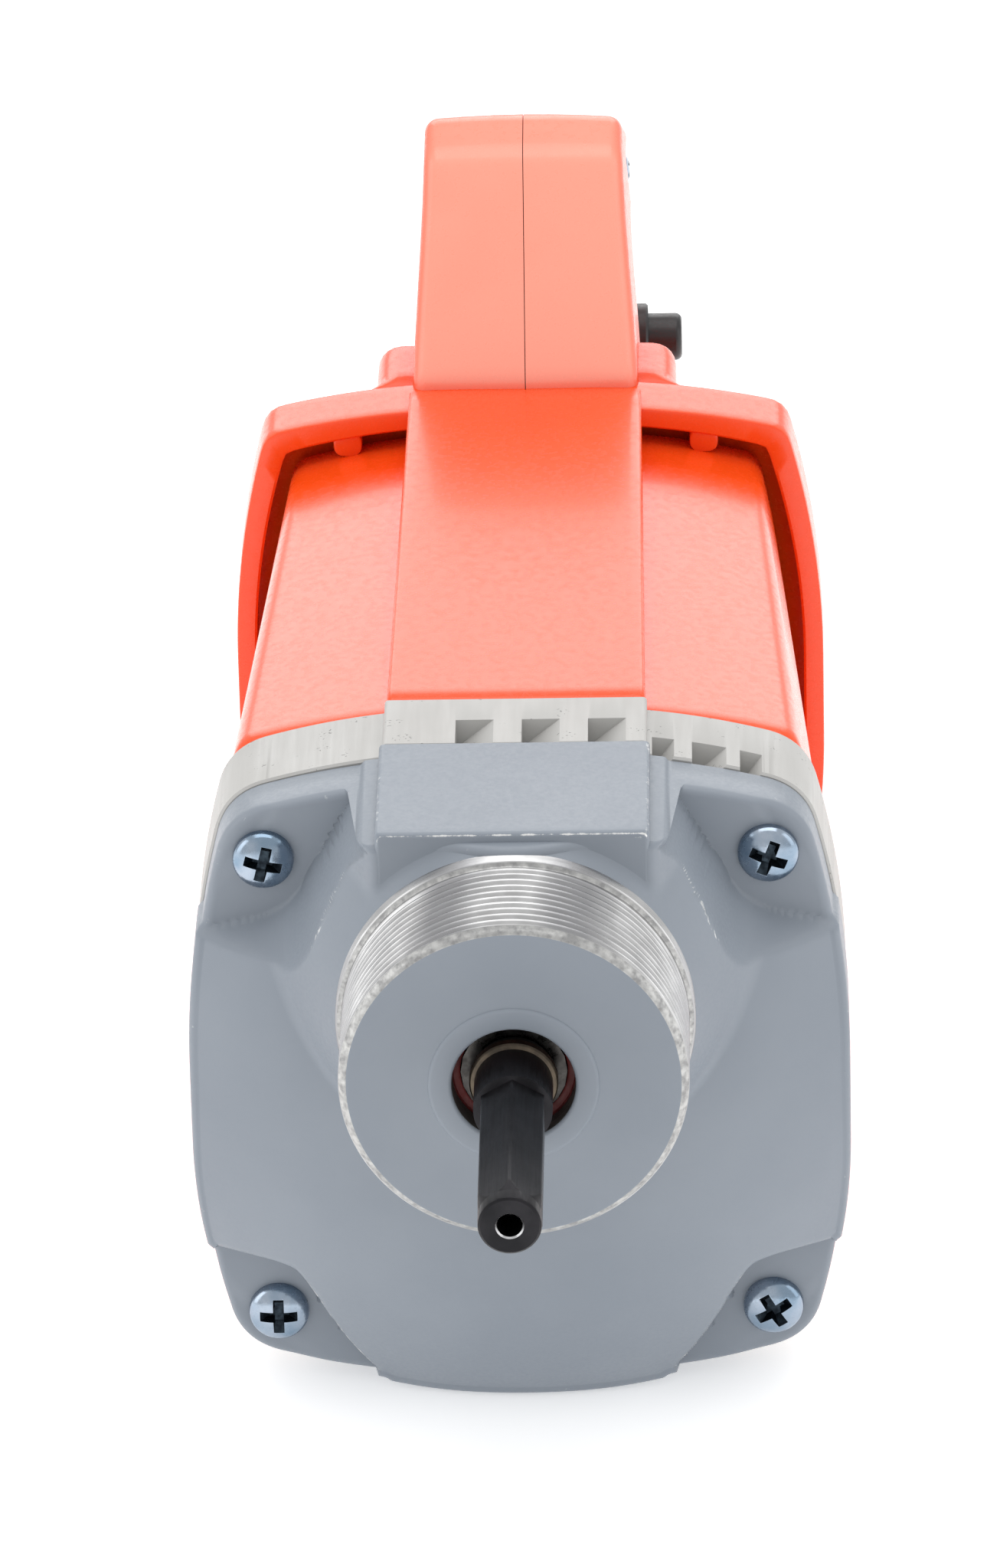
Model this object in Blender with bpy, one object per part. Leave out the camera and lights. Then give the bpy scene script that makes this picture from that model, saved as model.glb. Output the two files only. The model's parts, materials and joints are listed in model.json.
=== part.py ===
"""Hand-held drive unit for a concrete vibrator: geared universal motor with a closed rear handle.

Metres, +Z up. The output spindle points along -Y, the handle is at +Y and X = 0 is the middle plane.
The origin is on the ground under the middle of the tool. Stations are distances behind the nose's
front face, and most sections are drawn around the motor axis.
"""

import math

import bmesh
import bpy
from mathutils import Matrix, Vector

MM = 0.001
GAP = 0.3 * MM  # clearance left between pieces that touch
OVER = 1.0 * MM  # how far a cutter runs past the face that it opens

# Overall lay-out
MOTOR_Z = 56.0 * MM  # motor axis above the ground
SPINDLE_OUT = 46.0 * MM  # spindle in front of the nose
BODY_END = 199.0 * MM  # station of the motor housing's rear end
HAND_HOLE_START = BODY_END + 33.0 * MM
HAND_HOLE_LENGTH = 33.0 * MM
GRIP_DEPTH = 30.0 * MM
HANDLE_END = HAND_HOLE_START + HAND_HOLE_LENGTH + GRIP_DEPTH  # station of the handle's rear face
NOSE_Y = (SPINDLE_OUT - HANDLE_END) / 2  # puts the origin under the middle of the length

# Gears
GEAR_MODULE = 1.3 * MM
PINION_TEETH = 9
WHEEL_TEETH = 31
TOOTH_SHIFT = 0.5  # profile shift: plus on the pinion, minus on the wheel
TOOTH_BACKLASH = 0.3 * MM
PRESSURE_ANGLE = math.radians(20)
CENTRE_DISTANCE = GEAR_MODULE * (PINION_TEETH + WHEEL_TEETH) / 2
SPINDLE_Z = MOTOR_Z + CENTRE_DISTANCE
GEAR_START = 35.0 * MM
GEAR_WIDTH = 10.0 * MM

# Casing sections: half sizes at the middle and at the corners of a barrel-shaped outline
FLANGE = {"mid_w": 54.0 * MM, "corner_w": 47.6 * MM, "mid_h": 56.0 * MM, "corner_h": 49.4 * MM}
BODY_FRONT = {"mid_w": 52.0 * MM, "corner_w": 45.9 * MM, "mid_h": 54.8 * MM, "corner_h": 49.4 * MM}
BODY_REAR = {"mid_w": 44.6 * MM, "corner_w": 40.4 * MM, "mid_h": 49.0 * MM, "corner_h": 44.2 * MM}
BELL = {"mid_w": 51.5 * MM, "corner_w": 44.4 * MM, "mid_h": 56.0 * MM, "corner_h": 51.4 * MM}
CORNER_RADIUS = 6.0 * MM
SIDE_FLAT = 8.0 * MM  # half length of the level stretch in the middle of each side
INNER_CORNER_RADIUS = 24.0 * MM  # leaves plastic in the corners for the cover screws

# Raised block along the top
BLOCK_HALF = 22.0 * MM
BAND_HALF = 20.3 * MM
BLOCK_TOP = CENTRE_DISTANCE + 31.6 * MM  # above the motor axis
BLOCK_BASE = 20.0 * MM

# Gear cover
NOSE_RADIUS = 28.0 * MM
NOSE_CHAMFER = 1.6 * MM
NOSE_COLLAR_RADIUS = 29.0 * MM
NOSE_COLLAR_START = 22.0 * MM
NOSE_BORE = 9.9 * MM
NOSE_WALL = 4.7 * MM
FACE_STATION = 26.5 * MM
RIM_STATION = 48.5 * MM
CROWN_POWER = 2.4
POCKET_STATION = 50.0 * MM
COVER_END = 59.0 * MM
CHAMBER_START = 31.0 * MM
CHAMBER_CLEARANCE = 1.6 * MM
MOTOR_CHAMBER = 13.0 * MM
SCREW_X = 41.0 * MM
SCREW_DZ = 42.0 * MM
SCREW_RADIUS = 2.4 * MM
SCREW_LENGTH = 38.0 * MM
HEAD_RADIUS = 5.0 * MM
HEAD_HEIGHT = 3.4 * MM

# Baffle ring
RING_END = 76.0 * MM
RING_WALL = 3.3 * MM
NOTCH_WIDTH = 6.2 * MM
NOTCH_PITCH = 10.8 * MM
NOTCH_DEPTH = 8.7 * MM
SIDE_NOTCH_DEPTH = 6.1 * MM
FIRST_NOTCH_X = -6.6 * MM
# Distance past the block and width of each notch on the right shoulder
SHOULDER_NOTCHES = ((2.4 * MM, 3.0 * MM), (9.6 * MM, 5.6 * MM), (16.2 * MM, 3.2 * MM))
FLANK_NOTCH_HEIGHTS = (-12.0 * MM, 2.0 * MM, 16.0 * MM)
FLANK_NOTCH_HALF = 2.0 * MM

# Bearing plate
PLATE_WALL = 4.0 * MM
PLATE_BOSS_WALL = 3.0 * MM
PLATE_SCREW_RADIUS = 1.5 * MM

# Stator housing
BODY_WALL = 3.0 * MM
END_WALL = 4.0 * MM
SLEEVE_WALL = 1.0 * MM  # rubber round the armature's rear bearing
VENT_SIZE = (6.0 * MM, 5.0 * MM)
VENT_X = 20.0 * MM
VENT_PITCH = 12.0 * MM
BAND_END = BODY_END + 1.7 * MM

# Spindle
HEX_ACROSS_FLATS = 10.0 * MM
SPINDLE_JOURNAL = 6.0 * MM
SPINDLE_COLLAR = 6.4 * MM
ROUND_START = 8.4 * MM  # the collar runs this far in front of the nose, then the hexagon starts
SPINDLE_SHOULDER = 8.0 * MM
SPINDLE_SEAT = 7.0 * MM
SPINDLE_TAIL = 4.0 * MM
TIP_TURNED = 2.5 * MM
CENTRE_HOLE = 2.0 * MM
CENTRE_HOLE_DEPTH = 8.0 * MM

# Bearings: bore radius, outer radius, width
SPINDLE_FRONT_BEARING = (6.0 * MM, 16.0 * MM, 10.0 * MM)
SPINDLE_REAR_BEARING = (4.0 * MM, 11.0 * MM, 7.0 * MM)
ARMATURE_FRONT_BEARING = (5.0 * MM, 13.0 * MM, 8.0 * MM)
ARMATURE_REAR_BEARING = (4.0 * MM, 11.0 * MM, 7.0 * MM)
RING_SHARE = 0.22  # wall of a bearing ring over the whole radial height

# Motor
FAN_START = 73.0 * MM
FAN_WIDTH = 12.0 * MM
FAN_RADIUS = 38.0 * MM
FAN_BLADES = 14
FAN_DISC = 2.0 * MM
BLADE_HALF = 0.8 * MM
CORE_START = 100.0 * MM
CORE_LENGTH = 50.0 * MM
ARMATURE_RADIUS = 22.0 * MM
AIR_GAP = 0.8 * MM
STATOR = {"mid_w": 38.5 * MM, "corner_w": 34.0 * MM, "mid_h": 41.0 * MM, "corner_h": 37.0 * MM}
WINDING_RADIUS = 20.0 * MM
WINDING_OVERHANG = 8.0 * MM
COIL_SLOT = (26.0 * MM, 5.5 * MM, 15.0 * MM)  # middle, half width, half height
SHAFT_RADIUS = 6.0 * MM
COMMUTATOR_START = 162.0 * MM
COMMUTATOR_LENGTH = 16.0 * MM
COMMUTATOR_RADIUS = 14.0 * MM
BRUSH_SIZE = (10.0 * MM, 7.0 * MM)  # along the shaft, across it
BRUSH_LENGTH = 12.0 * MM
HOLDER_WALL = 1.5 * MM
HOLDER_END = 36.0 * MM
CAP_RADIUS = 8.0 * MM
CAP_END = 46.5 * MM

# Rear shell and handle
SHELL_WALL = 3.5 * MM
BELL_START = BODY_END - 6.0 * MM
BELL_STEP = BODY_END + 6.0 * MM
NECK_HALF = 26.3 * MM
NECK_TOP = 55.5 * MM
NECK_BOTTOM = -44.0 * MM
NECK_END = BODY_END + 24.0 * MM
HANDLE_HALF = 20.0 * MM
HANDLE_ROUND = 5.0 * MM
HANDLE_WALL = 3.0 * MM
HANDLE_TOP = 96.0 * MM
HANDLE_BOTTOM = -50.0 * MM
HOLE_TOP = 66.0 * MM
HOLE_BOTTOM = -24.0 * MM
HANDLE_SCREW_RADIUS = 1.5 * MM
HEAD_SEAT_DEPTH = 4.0 * MM
TRIGGER_HALF = 6.0 * MM
TRIGGER_CLEARANCE = 0.8 * MM
TRIGGER_TOP = 50.0 * MM
TRIGGER_BOTTOM = 14.0 * MM
TRIGGER_OUT = 9.0 * MM
LOCK_RADIUS = 4.5 * MM
LOCK_OUT = 7.0 * MM
LOCK_TRAVEL = 3.0 * MM
GLAND_RADIUS = 9.0 * MM
CORD_HOLE = 4.2 * MM
GLAND_NECK = GLAND_RADIUS - 2.0 * MM

ROUND = 20  # sides of an ordinary turned piece


def clear_scene():
    """Removes what an opened file holds."""
    for obj in list(bpy.data.objects):
        bpy.data.objects.remove(obj, do_unlink=True)


def finish(name, colour, roughness, metallic=0.0):
    """A Principled BSDF material."""
    material = bpy.data.materials.new(name)
    material.use_nodes = True
    shader = material.node_tree.nodes["Principled BSDF"]
    shader.inputs["Base Color"].default_value = (*colour, 1.0)
    shader.inputs["Roughness"].default_value = roughness
    shader.inputs["Metallic"].default_value = metallic
    material.diffuse_color = (*colour, 1.0)
    return material


def place(name, mesh, material, z=MOTOR_Z):
    """Makes an object of a bmesh, with its origin on the axis at height z, level with the nose face."""
    bmesh.ops.recalc_face_normals(mesh, faces=mesh.faces)
    data = bpy.data.meshes.new(name)
    mesh.to_mesh(data)
    mesh.free()
    obj = bpy.data.objects.new(name, data)
    obj.location = (0.0, NOSE_Y, z)
    bpy.context.scene.collection.objects.link(obj)
    if material is not None:
        data.materials.append(material)
        data.shade_smooth()
        data.set_sharp_from_angle(angle=math.radians(35))
    return obj


def boolean(obj, operation, mesh, z=MOTOR_Z):
    """Adds a Boolean of the bmesh to an object; the tool stays as a hidden guide."""
    tool = place(f"{obj.name}_{operation.lower()}_{len(obj.modifiers)}", mesh, None, z)
    tool.hide_render = True
    tool.display_type = "WIRE"
    modifier = obj.modifiers.new(tool.name, "BOOLEAN")
    modifier.operation = operation
    modifier.object = tool
    modifier.solver = "EXACT"


def cut(obj, mesh, z=MOTOR_Z):
    """Takes the bmesh away from an object."""
    boolean(obj, "DIFFERENCE", mesh, z)


def add(obj, mesh, z=MOTOR_Z):
    """Unites the bmesh with an object."""
    boolean(obj, "UNION", mesh, z)


def loft(loops):
    """A closed solid through loops of (x, y, z) points, all with the same count."""
    mesh = bmesh.new()
    rings = [[mesh.verts.new(point) for point in loop] for loop in loops]
    count = len(rings[0])
    for near, far in zip(rings, rings[1:]):
        for i in range(count):
            j = (i + 1) % count
            mesh.faces.new((near[i], near[j], far[j], far[i]))
    mesh.faces.new(rings[0])
    mesh.faces.new(list(reversed(rings[-1])))
    return mesh


def turn(mesh, angle, axis):
    """Turns a bmesh about the given axis through its origin."""
    bmesh.ops.rotate(mesh, verts=mesh.verts, cent=(0, 0, 0), matrix=Matrix.Rotation(angle, 3, axis))


def prism(outline, start, end):
    """An outline of (x, z) points, extruded from station start to station end."""
    return loft([[(x, station, z) for x, z in outline] for station in (start, end)])


def side_prism(outline, left, right):
    """An outline of (station, z) points, extruded across from x = left to x = right."""
    return loft([[(x, y, z) for y, z in outline] for x in (left, right)])


def box(low, high):
    """A box between two corners."""
    corners = [(low[0], low[2]), (high[0], low[2]), (high[0], high[2]), (low[0], high[2])]
    return prism(corners, low[1], high[1])


def turned(profile, segments=ROUND):
    """Turns a closed outline of (radius, station) points about the axis; radius 0 is on the axis."""
    solid = profile[0][0] == 0
    rings = [[(radius * math.cos(a), station, radius * math.sin(a)) for a in turns(segments)]
             for radius, station in profile if radius > 0]
    if solid:
        return loft(rings)
    mesh = bmesh.new()
    loops = [[mesh.verts.new(point) for point in ring] for ring in rings]
    for k, far in enumerate(loops):
        near = loops[k - 1]
        for i in range(segments):
            j = (i + 1) % segments
            mesh.faces.new((near[i], near[j], far[j], far[i]))
    return mesh


def rod(radius, start, end, segments=ROUND, at=(0.0, 0.0)):
    """A plain cylinder along the stations."""
    return prism(circle(radius, segments, at), start, end)


def cross_rod(radius, left, right, station, z, segments=16):
    """A plain cylinder across the tool."""
    outline = [(station + radius * math.cos(a), z + radius * math.sin(a)) for a in turns(segments)]
    return side_prism(outline, left, right)


def upright_rod(radius, station, low, high, segments=24):
    """A plain upright cylinder in the middle plane."""
    return loft([[(radius * math.cos(a), station + radius * math.sin(a), z) for a in turns(segments)]
                 for z in (low, high)])


def turns(count):
    """Evenly spaced angles round a full turn."""
    return [math.tau * i / count for i in range(count)]


def circle(radius, segments=ROUND, at=(0.0, 0.0)):
    """Points round a circle, as (x, z)."""
    return [(at[0] + radius * math.cos(a), at[1] + radius * math.sin(a)) for a in turns(segments)]


def joined(meshes):
    """Several bmeshes as one, each still a body of its own."""
    whole = bmesh.new()
    for mesh in meshes:
        data = bpy.data.meshes.new("piece")
        mesh.to_mesh(data)
        mesh.free()
        whole.from_mesh(data)
        bpy.data.meshes.remove(data)
    return whole


def moved(mesh, x=0.0, y=0.0, z=0.0):
    """The bmesh, shifted."""
    bmesh.ops.translate(mesh, verts=mesh.verts, vec=(x, y, z))
    return mesh


def rounded(points, radius, steps):
    """A closed outline with every corner rounded, limited by the sides next to it."""
    outline = []
    count = len(points)
    for i in range(count):
        corner = Vector(points[i])
        before = Vector(points[i - 1]) - corner
        after = Vector(points[(i + 1) % count]) - corner
        angle = before.angle(after)
        reach = min(radius / math.tan(angle / 2), 0.45 * before.length, 0.45 * after.length)
        start = corner + before.normalized() * reach
        end = corner + after.normalized() * reach
        for k in range(steps + 1):
            t = k / steps
            outline.append(tuple((1 - t) ** 2 * start + 2 * t * (1 - t) * corner + t ** 2 * end))
    return outline


def bowed(at, flat, corner_at, middle, corner):
    """Height of a bowed side over a point along it: level in the middle, then falling to the corner."""
    share = max(0.0, at - flat) / (corner_at - flat)
    return middle - (middle - corner) * share ** 2


def barrel(size, inset=0.0, radius=CORNER_RADIUS, side_steps=4, corner_steps=3):
    """The casing's section: four bowed sides between four rounded corners, as (x, z) points."""
    mid_w, corner_w = size["mid_w"] - inset, size["corner_w"] - inset
    mid_h, corner_h = size["mid_h"] - inset, size["corner_h"] - inset
    reach = min(radius, 0.7 * corner_w, 0.7 * corner_h)
    quarter = []
    for k in range(side_steps + 1):
        z = SIDE_FLAT + (corner_h - reach - SIDE_FLAT) * k / side_steps
        quarter.append((bowed(z, SIDE_FLAT, corner_h, mid_w, corner_w), z))
    start = Vector(quarter[-1])
    end_x = corner_w - reach
    end = Vector((end_x, bowed(end_x, SIDE_FLAT, corner_w, mid_h, corner_h)))
    corner = Vector((corner_w, corner_h))
    for k in range(1, corner_steps):
        t = k / corner_steps
        quarter.append(tuple((1 - t) ** 2 * start + 2 * t * (1 - t) * corner + t ** 2 * end))
    for k in range(side_steps + 1):
        x = end_x + (SIDE_FLAT - end_x) * k / side_steps
        quarter.append((x, bowed(x, SIDE_FLAT, corner_w, mid_h, corner_h)))
    upper = quarter + [(-x, z) for x, z in reversed(quarter)]
    return upper + [(x, -z) for x, z in reversed(upper)]


def top_block(half, start, end):
    """The raised block on top of the casing."""
    return box((-half, start, BLOCK_BASE), (half, end, BLOCK_TOP))


def crown_station(x, z):
    """Station of the gear cover's crowned front over a point of its section."""
    rim = math.hypot(FLANGE["corner_w"], FLANGE["corner_h"] * 0.62)
    reach = math.hypot(x, z) / rim
    return min(FACE_STATION + (RIM_STATION - FACE_STATION) * reach ** CROWN_POWER, POCKET_STATION)


def crowned_body():
    """The gear cover's crown: rings of the casing's section, pulled forward towards the middle."""
    outline = barrel(FLANGE)
    shares = (1.0, 0.86, 0.68, 0.45, 0.2)
    loops = [[(x, COVER_END, z) for x, z in outline]]
    for share in shares:
        loops.append([(x * share, crown_station(x * share, z * share), z * share) for x, z in outline])
    return loft(loops)


def screw_places():
    """The four cover screws, as (x, z) round the motor axis."""
    return [(sx * SCREW_X, sz * SCREW_DZ) for sx in (-1, 1) for sz in (-1, 1)]


def pocket(sx, sz):
    """The recess that a cover screw sits in, open to the front and to the corner."""
    near_x, near_z = BLOCK_HALF + 2.5 * MM, 30.0 * MM
    inner = (SCREW_X - 10.5 * MM, SCREW_DZ - 10.5 * MM)
    far = 80.0 * MM
    shape = [(near_x, far), (near_x, SCREW_DZ + 14.0 * MM), (inner[0] + 1.5 * MM, inner[1] + 5.0 * MM),
             (inner[0] + 5.5 * MM, inner[1] + 0.8 * MM), (far, near_z - 4.0 * MM), (far, far)]
    spread = 5.0 * MM  # the pocket's walls lean outwards
    loops = []
    for station, lean in ((POCKET_STATION, 0.0), (FACE_STATION - OVER, spread)):
        leaned = [(x - lean * (x < far), z - lean * (z < far)) for x, z in shape]
        loops.append([(sx * x, station, sz * z) for x, z in leaned])
    return loft(loops)


def gear_wheel_outer():
    """Tip radius of the driven wheel."""
    return GEAR_MODULE * (WHEEL_TEETH / 2 + 1 - TOOTH_SHIFT)


def chamber_outline(margin):
    """A belt line round the two gears."""
    wheel = gear_wheel_outer() + margin
    pinion = MOTOR_CHAMBER + margin
    lean = math.asin((wheel - pinion) / CENTRE_DISTANCE)
    steps = 12
    points = []
    for k in range(steps + 1):
        a = -lean + (math.pi + 2 * lean) * k / steps
        points.append((wheel * math.cos(a), CENTRE_DISTANCE + wheel * math.sin(a)))
    for k in range(steps + 1):
        a = math.pi + lean + (math.pi - 2 * lean) * k / steps
        points.append((pinion * math.cos(a), pinion * math.sin(a)))
    return points


def gear_cover(metal):
    """Cast cover with the threaded nose; the gear chamber opens at its back."""
    cover = place("gear_cover", crowned_body(), metal)
    add(cover, top_block(BLOCK_HALF, FACE_STATION, COVER_END))
    nose = turned([(0, 0), (NOSE_RADIUS - NOSE_CHAMFER, 0), (NOSE_RADIUS, NOSE_CHAMFER),
                   (NOSE_RADIUS, NOSE_COLLAR_START), (NOSE_COLLAR_RADIUS, NOSE_COLLAR_START),
                   (NOSE_COLLAR_RADIUS, CHAMBER_START + 6.0 * MM), (0, CHAMBER_START + 6.0 * MM)], 48)
    add(cover, nose, SPINDLE_Z)
    for sx in (-1, 1):
        for sz in (-1, 1):
            cut(cover, pocket(sx, sz))
    cut(cover, prism(chamber_outline(CHAMBER_CLEARANCE), CHAMBER_START, COVER_END + OVER))
    bearing_seat = SPINDLE_FRONT_BEARING[1] + GAP
    cut(cover, rod(bearing_seat, NOSE_WALL, CHAMBER_START + OVER), SPINDLE_Z)
    cut(cover, rod(NOSE_BORE, -OVER, NOSE_WALL + OVER), SPINDLE_Z)
    for at in screw_places():
        cut(cover, rod(SCREW_RADIUS + GAP, POCKET_STATION - OVER, COVER_END + OVER, 16, at))
    return cover


def pan_head_screw(radius, length, head_radius, head_height, segments=16):
    """A pan head screw pointing along +Y, its head's underside at station 0."""
    return turned([(0, -head_height), (head_radius * 0.55, -head_height * 0.94),
                   (head_radius * 0.9, -head_height * 0.55), (head_radius, -head_height * 0.12),
                   (head_radius, 0), (radius, 0), (radius, length - radius), (0, length)], segments)


def cover_screws(zinc):
    """The four long screws through cover and ring into the housing."""
    for number, (x, z) in enumerate(screw_places(), 1):
        screw = pan_head_screw(SCREW_RADIUS, SCREW_LENGTH, HEAD_RADIUS, HEAD_HEIGHT)
        place(f"cover_screw_{number}", moved(screw, x, POCKET_STATION - GAP, z), zinc)


def baffle_ring(plastic):
    """Vented ring between cover and housing."""
    start = COVER_END + GAP
    ring = place("baffle_ring", prism(barrel(FLANGE), start, RING_END), plastic)
    add(ring, top_block(BLOCK_HALF - 0.6 * MM, start, RING_END))
    cut(ring, prism(barrel(FLANGE, RING_WALL, INNER_CORNER_RADIUS), start - OVER, RING_END + OVER))
    holes = [rod(SCREW_RADIUS + GAP, start - OVER, RING_END + OVER, 16, at) for at in screw_places()]
    cut(ring, joined(holes))
    notches = []
    for number in range(3):
        middle = FIRST_NOTCH_X + number * NOTCH_PITCH
        low = (middle - NOTCH_WIDTH / 2, start - OVER, FLANGE["mid_h"] - 10.0 * MM)
        notches.append(box(low, (middle + NOTCH_WIDTH / 2, start + NOTCH_DEPTH, BLOCK_TOP + OVER)))
    for past, width in SHOULDER_NOTCHES:
        middle = BLOCK_HALF + past
        low = (middle - width / 2, start - OVER, FLANGE["corner_h"] - 10.0 * MM)
        notches.append(box(low, (middle + width / 2, start + SIDE_NOTCH_DEPTH, FLANGE["mid_h"] + OVER)))
    for z in FLANK_NOTCH_HEIGHTS:
        low = (FLANGE["corner_w"] - 4.0 * MM, start - OVER, z - FLANK_NOTCH_HALF)
        notches.append(box(low, (FLANGE["mid_w"] + OVER, start + SIDE_NOTCH_DEPTH, z + FLANK_NOTCH_HALF)))
    cut(ring, joined(notches))
    return ring


def seat(bearing):
    """Radius of the bore that a bearing sits in."""
    return bearing[1] + GAP


def spindle_rear_station():
    """Front face of the spindle's rear bearing."""
    return COVER_END - SPINDLE_REAR_BEARING[2] - 1.0 * MM


def bearing_plate(metal):
    """Plate behind the gears, which holds the spindle's rear and the armature's front bearing."""
    start = COVER_END + GAP
    end = start + PLATE_WALL
    outline = barrel(FLANGE, RING_WALL + GAP, INNER_CORNER_RADIUS)
    plate = place("bearing_plate", prism(outline, start, end), metal)
    front = spindle_rear_station()
    add(plate, rod(seat(SPINDLE_REAR_BEARING) + PLATE_BOSS_WALL, front, start + OVER), SPINDLE_Z)
    rear = end + ARMATURE_FRONT_BEARING[2] - 2.0 * MM
    add(plate, rod(seat(ARMATURE_FRONT_BEARING) + PLATE_BOSS_WALL, end - OVER, rear))
    floor = front + SPINDLE_REAR_BEARING[2] + GAP
    cut(plate, rod(seat(SPINDLE_REAR_BEARING), front - OVER, floor), SPINDLE_Z)
    cut(plate, rod(seat(ARMATURE_FRONT_BEARING), end - 2.0 * MM, rear + OVER))
    cut(plate, rod(SHAFT_RADIUS + 1.5 * MM, start - 2 * OVER, end))
    holes = [rod(PLATE_SCREW_RADIUS + GAP, start - OVER, end + OVER, 12, at) for at in plate_screw_places()]
    cut(plate, joined(holes))
    return plate


def plate_screw_places():
    """The three screws that hold the plate to the cover."""
    low = -MOTOR_CHAMBER - CHAMBER_CLEARANCE - 7.0 * MM
    side = gear_wheel_outer() + CHAMBER_CLEARANCE + 5.0 * MM
    return [(0.0, low), (-side, CENTRE_DISTANCE / 2), (side, CENTRE_DISTANCE / 2)]


def plate_screws(zinc):
    """Short screws behind the plate, pointing forward."""
    under_head = COVER_END + 2 * GAP + PLATE_WALL
    for number, (x, z) in enumerate(plate_screw_places(), 1):
        screw = pan_head_screw(PLATE_SCREW_RADIUS, PLATE_WALL, 2 * PLATE_SCREW_RADIUS, 2.0 * MM, 12)
        turn(screw, math.pi, "Z")
        place(f"plate_screw_{number}", moved(screw, x, under_head, z), zinc)


def stator_housing(plastic):
    """One-piece motor housing with the raised band on top."""
    start = RING_END + GAP
    outer = [[(x, station, z) for x, z in barrel(size)]
             for station, size in ((start, BODY_FRONT), (BODY_END, BODY_REAR))]
    housing = place("stator_housing", loft(outer), plastic)
    add(housing, top_block(BAND_HALF, start, BAND_END))
    inner = [[(x, station, z) for x, z in barrel(size, BODY_WALL, INNER_CORNER_RADIUS)]
             for station, size in ((start - OVER, BODY_FRONT), (BODY_END - END_WALL, BODY_REAR))]
    cut(housing, loft(inner))
    band = (BAND_HALF - BODY_WALL, BODY_END - END_WALL - 12.0 * MM)
    cut(housing, box((-band[0], start - OVER, BLOCK_BASE), (band[0], band[1], BLOCK_TOP - BODY_WALL)))
    bearing = rear_bearing_station()
    bore = seat(ARMATURE_REAR_BEARING) + SLEEVE_WALL
    add(housing, rod(bore + BODY_WALL, bearing, BODY_END - END_WALL + OVER))
    cut(housing, rod(bore, bearing - OVER, bearing + ARMATURE_REAR_BEARING[2] + GAP))
    screw_end = POCKET_STATION + SCREW_LENGTH + OVER
    holes = [rod(SCREW_RADIUS + GAP, start - OVER, screw_end, 16, at) for at in screw_places()]
    cut(housing, joined(holes))
    brush = COMMUTATOR_START + COMMUTATOR_LENGTH / 2
    for side in (-1, 1):
        cut(housing, cross_rod(CAP_RADIUS + GAP, side * HOLDER_END, side * BODY_FRONT["mid_w"], brush, 0.0))
    cut(housing, joined(housing_vents()))
    return housing


def housing_vents():
    """Two columns of five air slots through the housing's rear wall."""
    vents = []
    for side in (-1, 1):
        for row in range(-2, 3):
            x, z = side * VENT_X, row * VENT_PITCH
            low = (x - VENT_SIZE[0] / 2, BODY_END - END_WALL - OVER, z - VENT_SIZE[1] / 2)
            vents.append(box(low, (x + VENT_SIZE[0] / 2, BODY_END + OVER, z + VENT_SIZE[1] / 2)))
    return vents


def rear_bearing_station():
    """Front face of the armature's rear bearing."""
    return BODY_END - END_WALL - ARMATURE_REAR_BEARING[2] - GAP


def armature_front_station():
    """Front face of the armature's front bearing."""
    return COVER_END + PLATE_WALL - 1.5 * MM


def bearing(name, size, station, z, steel):
    """A ball bearing's outer and inner rings, as two pieces with the ball track between them."""
    bore, outer, width = size
    middle = (bore + outer) / 2
    wall = (outer - bore) * RING_SHARE
    start = station + GAP
    end = station + width
    ring = turned([(outer, start), (outer, end), (outer - wall, end), (outer - wall, start)])
    place(f"{name}_outer_ring", ring, steel, z)
    inner_outer = min(bore + wall + GAP, middle - GAP)
    place(f"{name}_inner_ring", turned([(bore + GAP, start), (inner_outer, start), (inner_outer, end),
                                        (bore + GAP, end)]), steel, z)


def bearings(steel, rubber_red):
    """All four bearings and the red shield seen in the nose."""
    bearing("spindle_front_bearing", SPINDLE_FRONT_BEARING, NOSE_WALL, SPINDLE_Z, steel)
    bearing("spindle_rear_bearing", SPINDLE_REAR_BEARING, spindle_rear_station(), SPINDLE_Z, steel)
    bearing("armature_front_bearing", ARMATURE_FRONT_BEARING, armature_front_station(), MOTOR_Z, steel)
    bearing("armature_rear_bearing", ARMATURE_REAR_BEARING, rear_bearing_station(), MOTOR_Z, steel)
    bore, outer, _ = SPINDLE_FRONT_BEARING
    wall = (outer - bore) * RING_SHARE
    start = NOSE_WALL + 2 * GAP
    shield = tube(bore + wall + 3 * GAP, outer - wall - GAP, start, start + 1.2 * MM)
    place("bearing_shield", shield, rubber_red, SPINDLE_Z)
    bore = seat(ARMATURE_REAR_BEARING)
    start = rear_bearing_station()
    sleeve = tube(bore, bore + SLEEVE_WALL - GAP, start + GAP, start + ARMATURE_REAR_BEARING[2])
    place("rear_bearing_sleeve", sleeve, finish("sleeve_rubber", (0.03, 0.03, 0.03), 0.8))


def retaining_ring(steel):
    """Open spring ring behind the spindle's front bearing."""
    start = NOSE_WALL + SPINDLE_FRONT_BEARING[2] + GAP
    outer = SPINDLE_FRONT_BEARING[1]
    outline = arc_band(outer - 3.0 * MM, outer, -66, 246, 24)
    place("retaining_ring", prism(outline, start, start + 1.2 * MM), steel, SPINDLE_Z)


def involute(base, radius):
    """Polar angle that an involute from the base circle has gained at a radius."""
    pressure = math.acos(min(1.0, base / radius))
    return math.tan(pressure) - pressure


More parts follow.
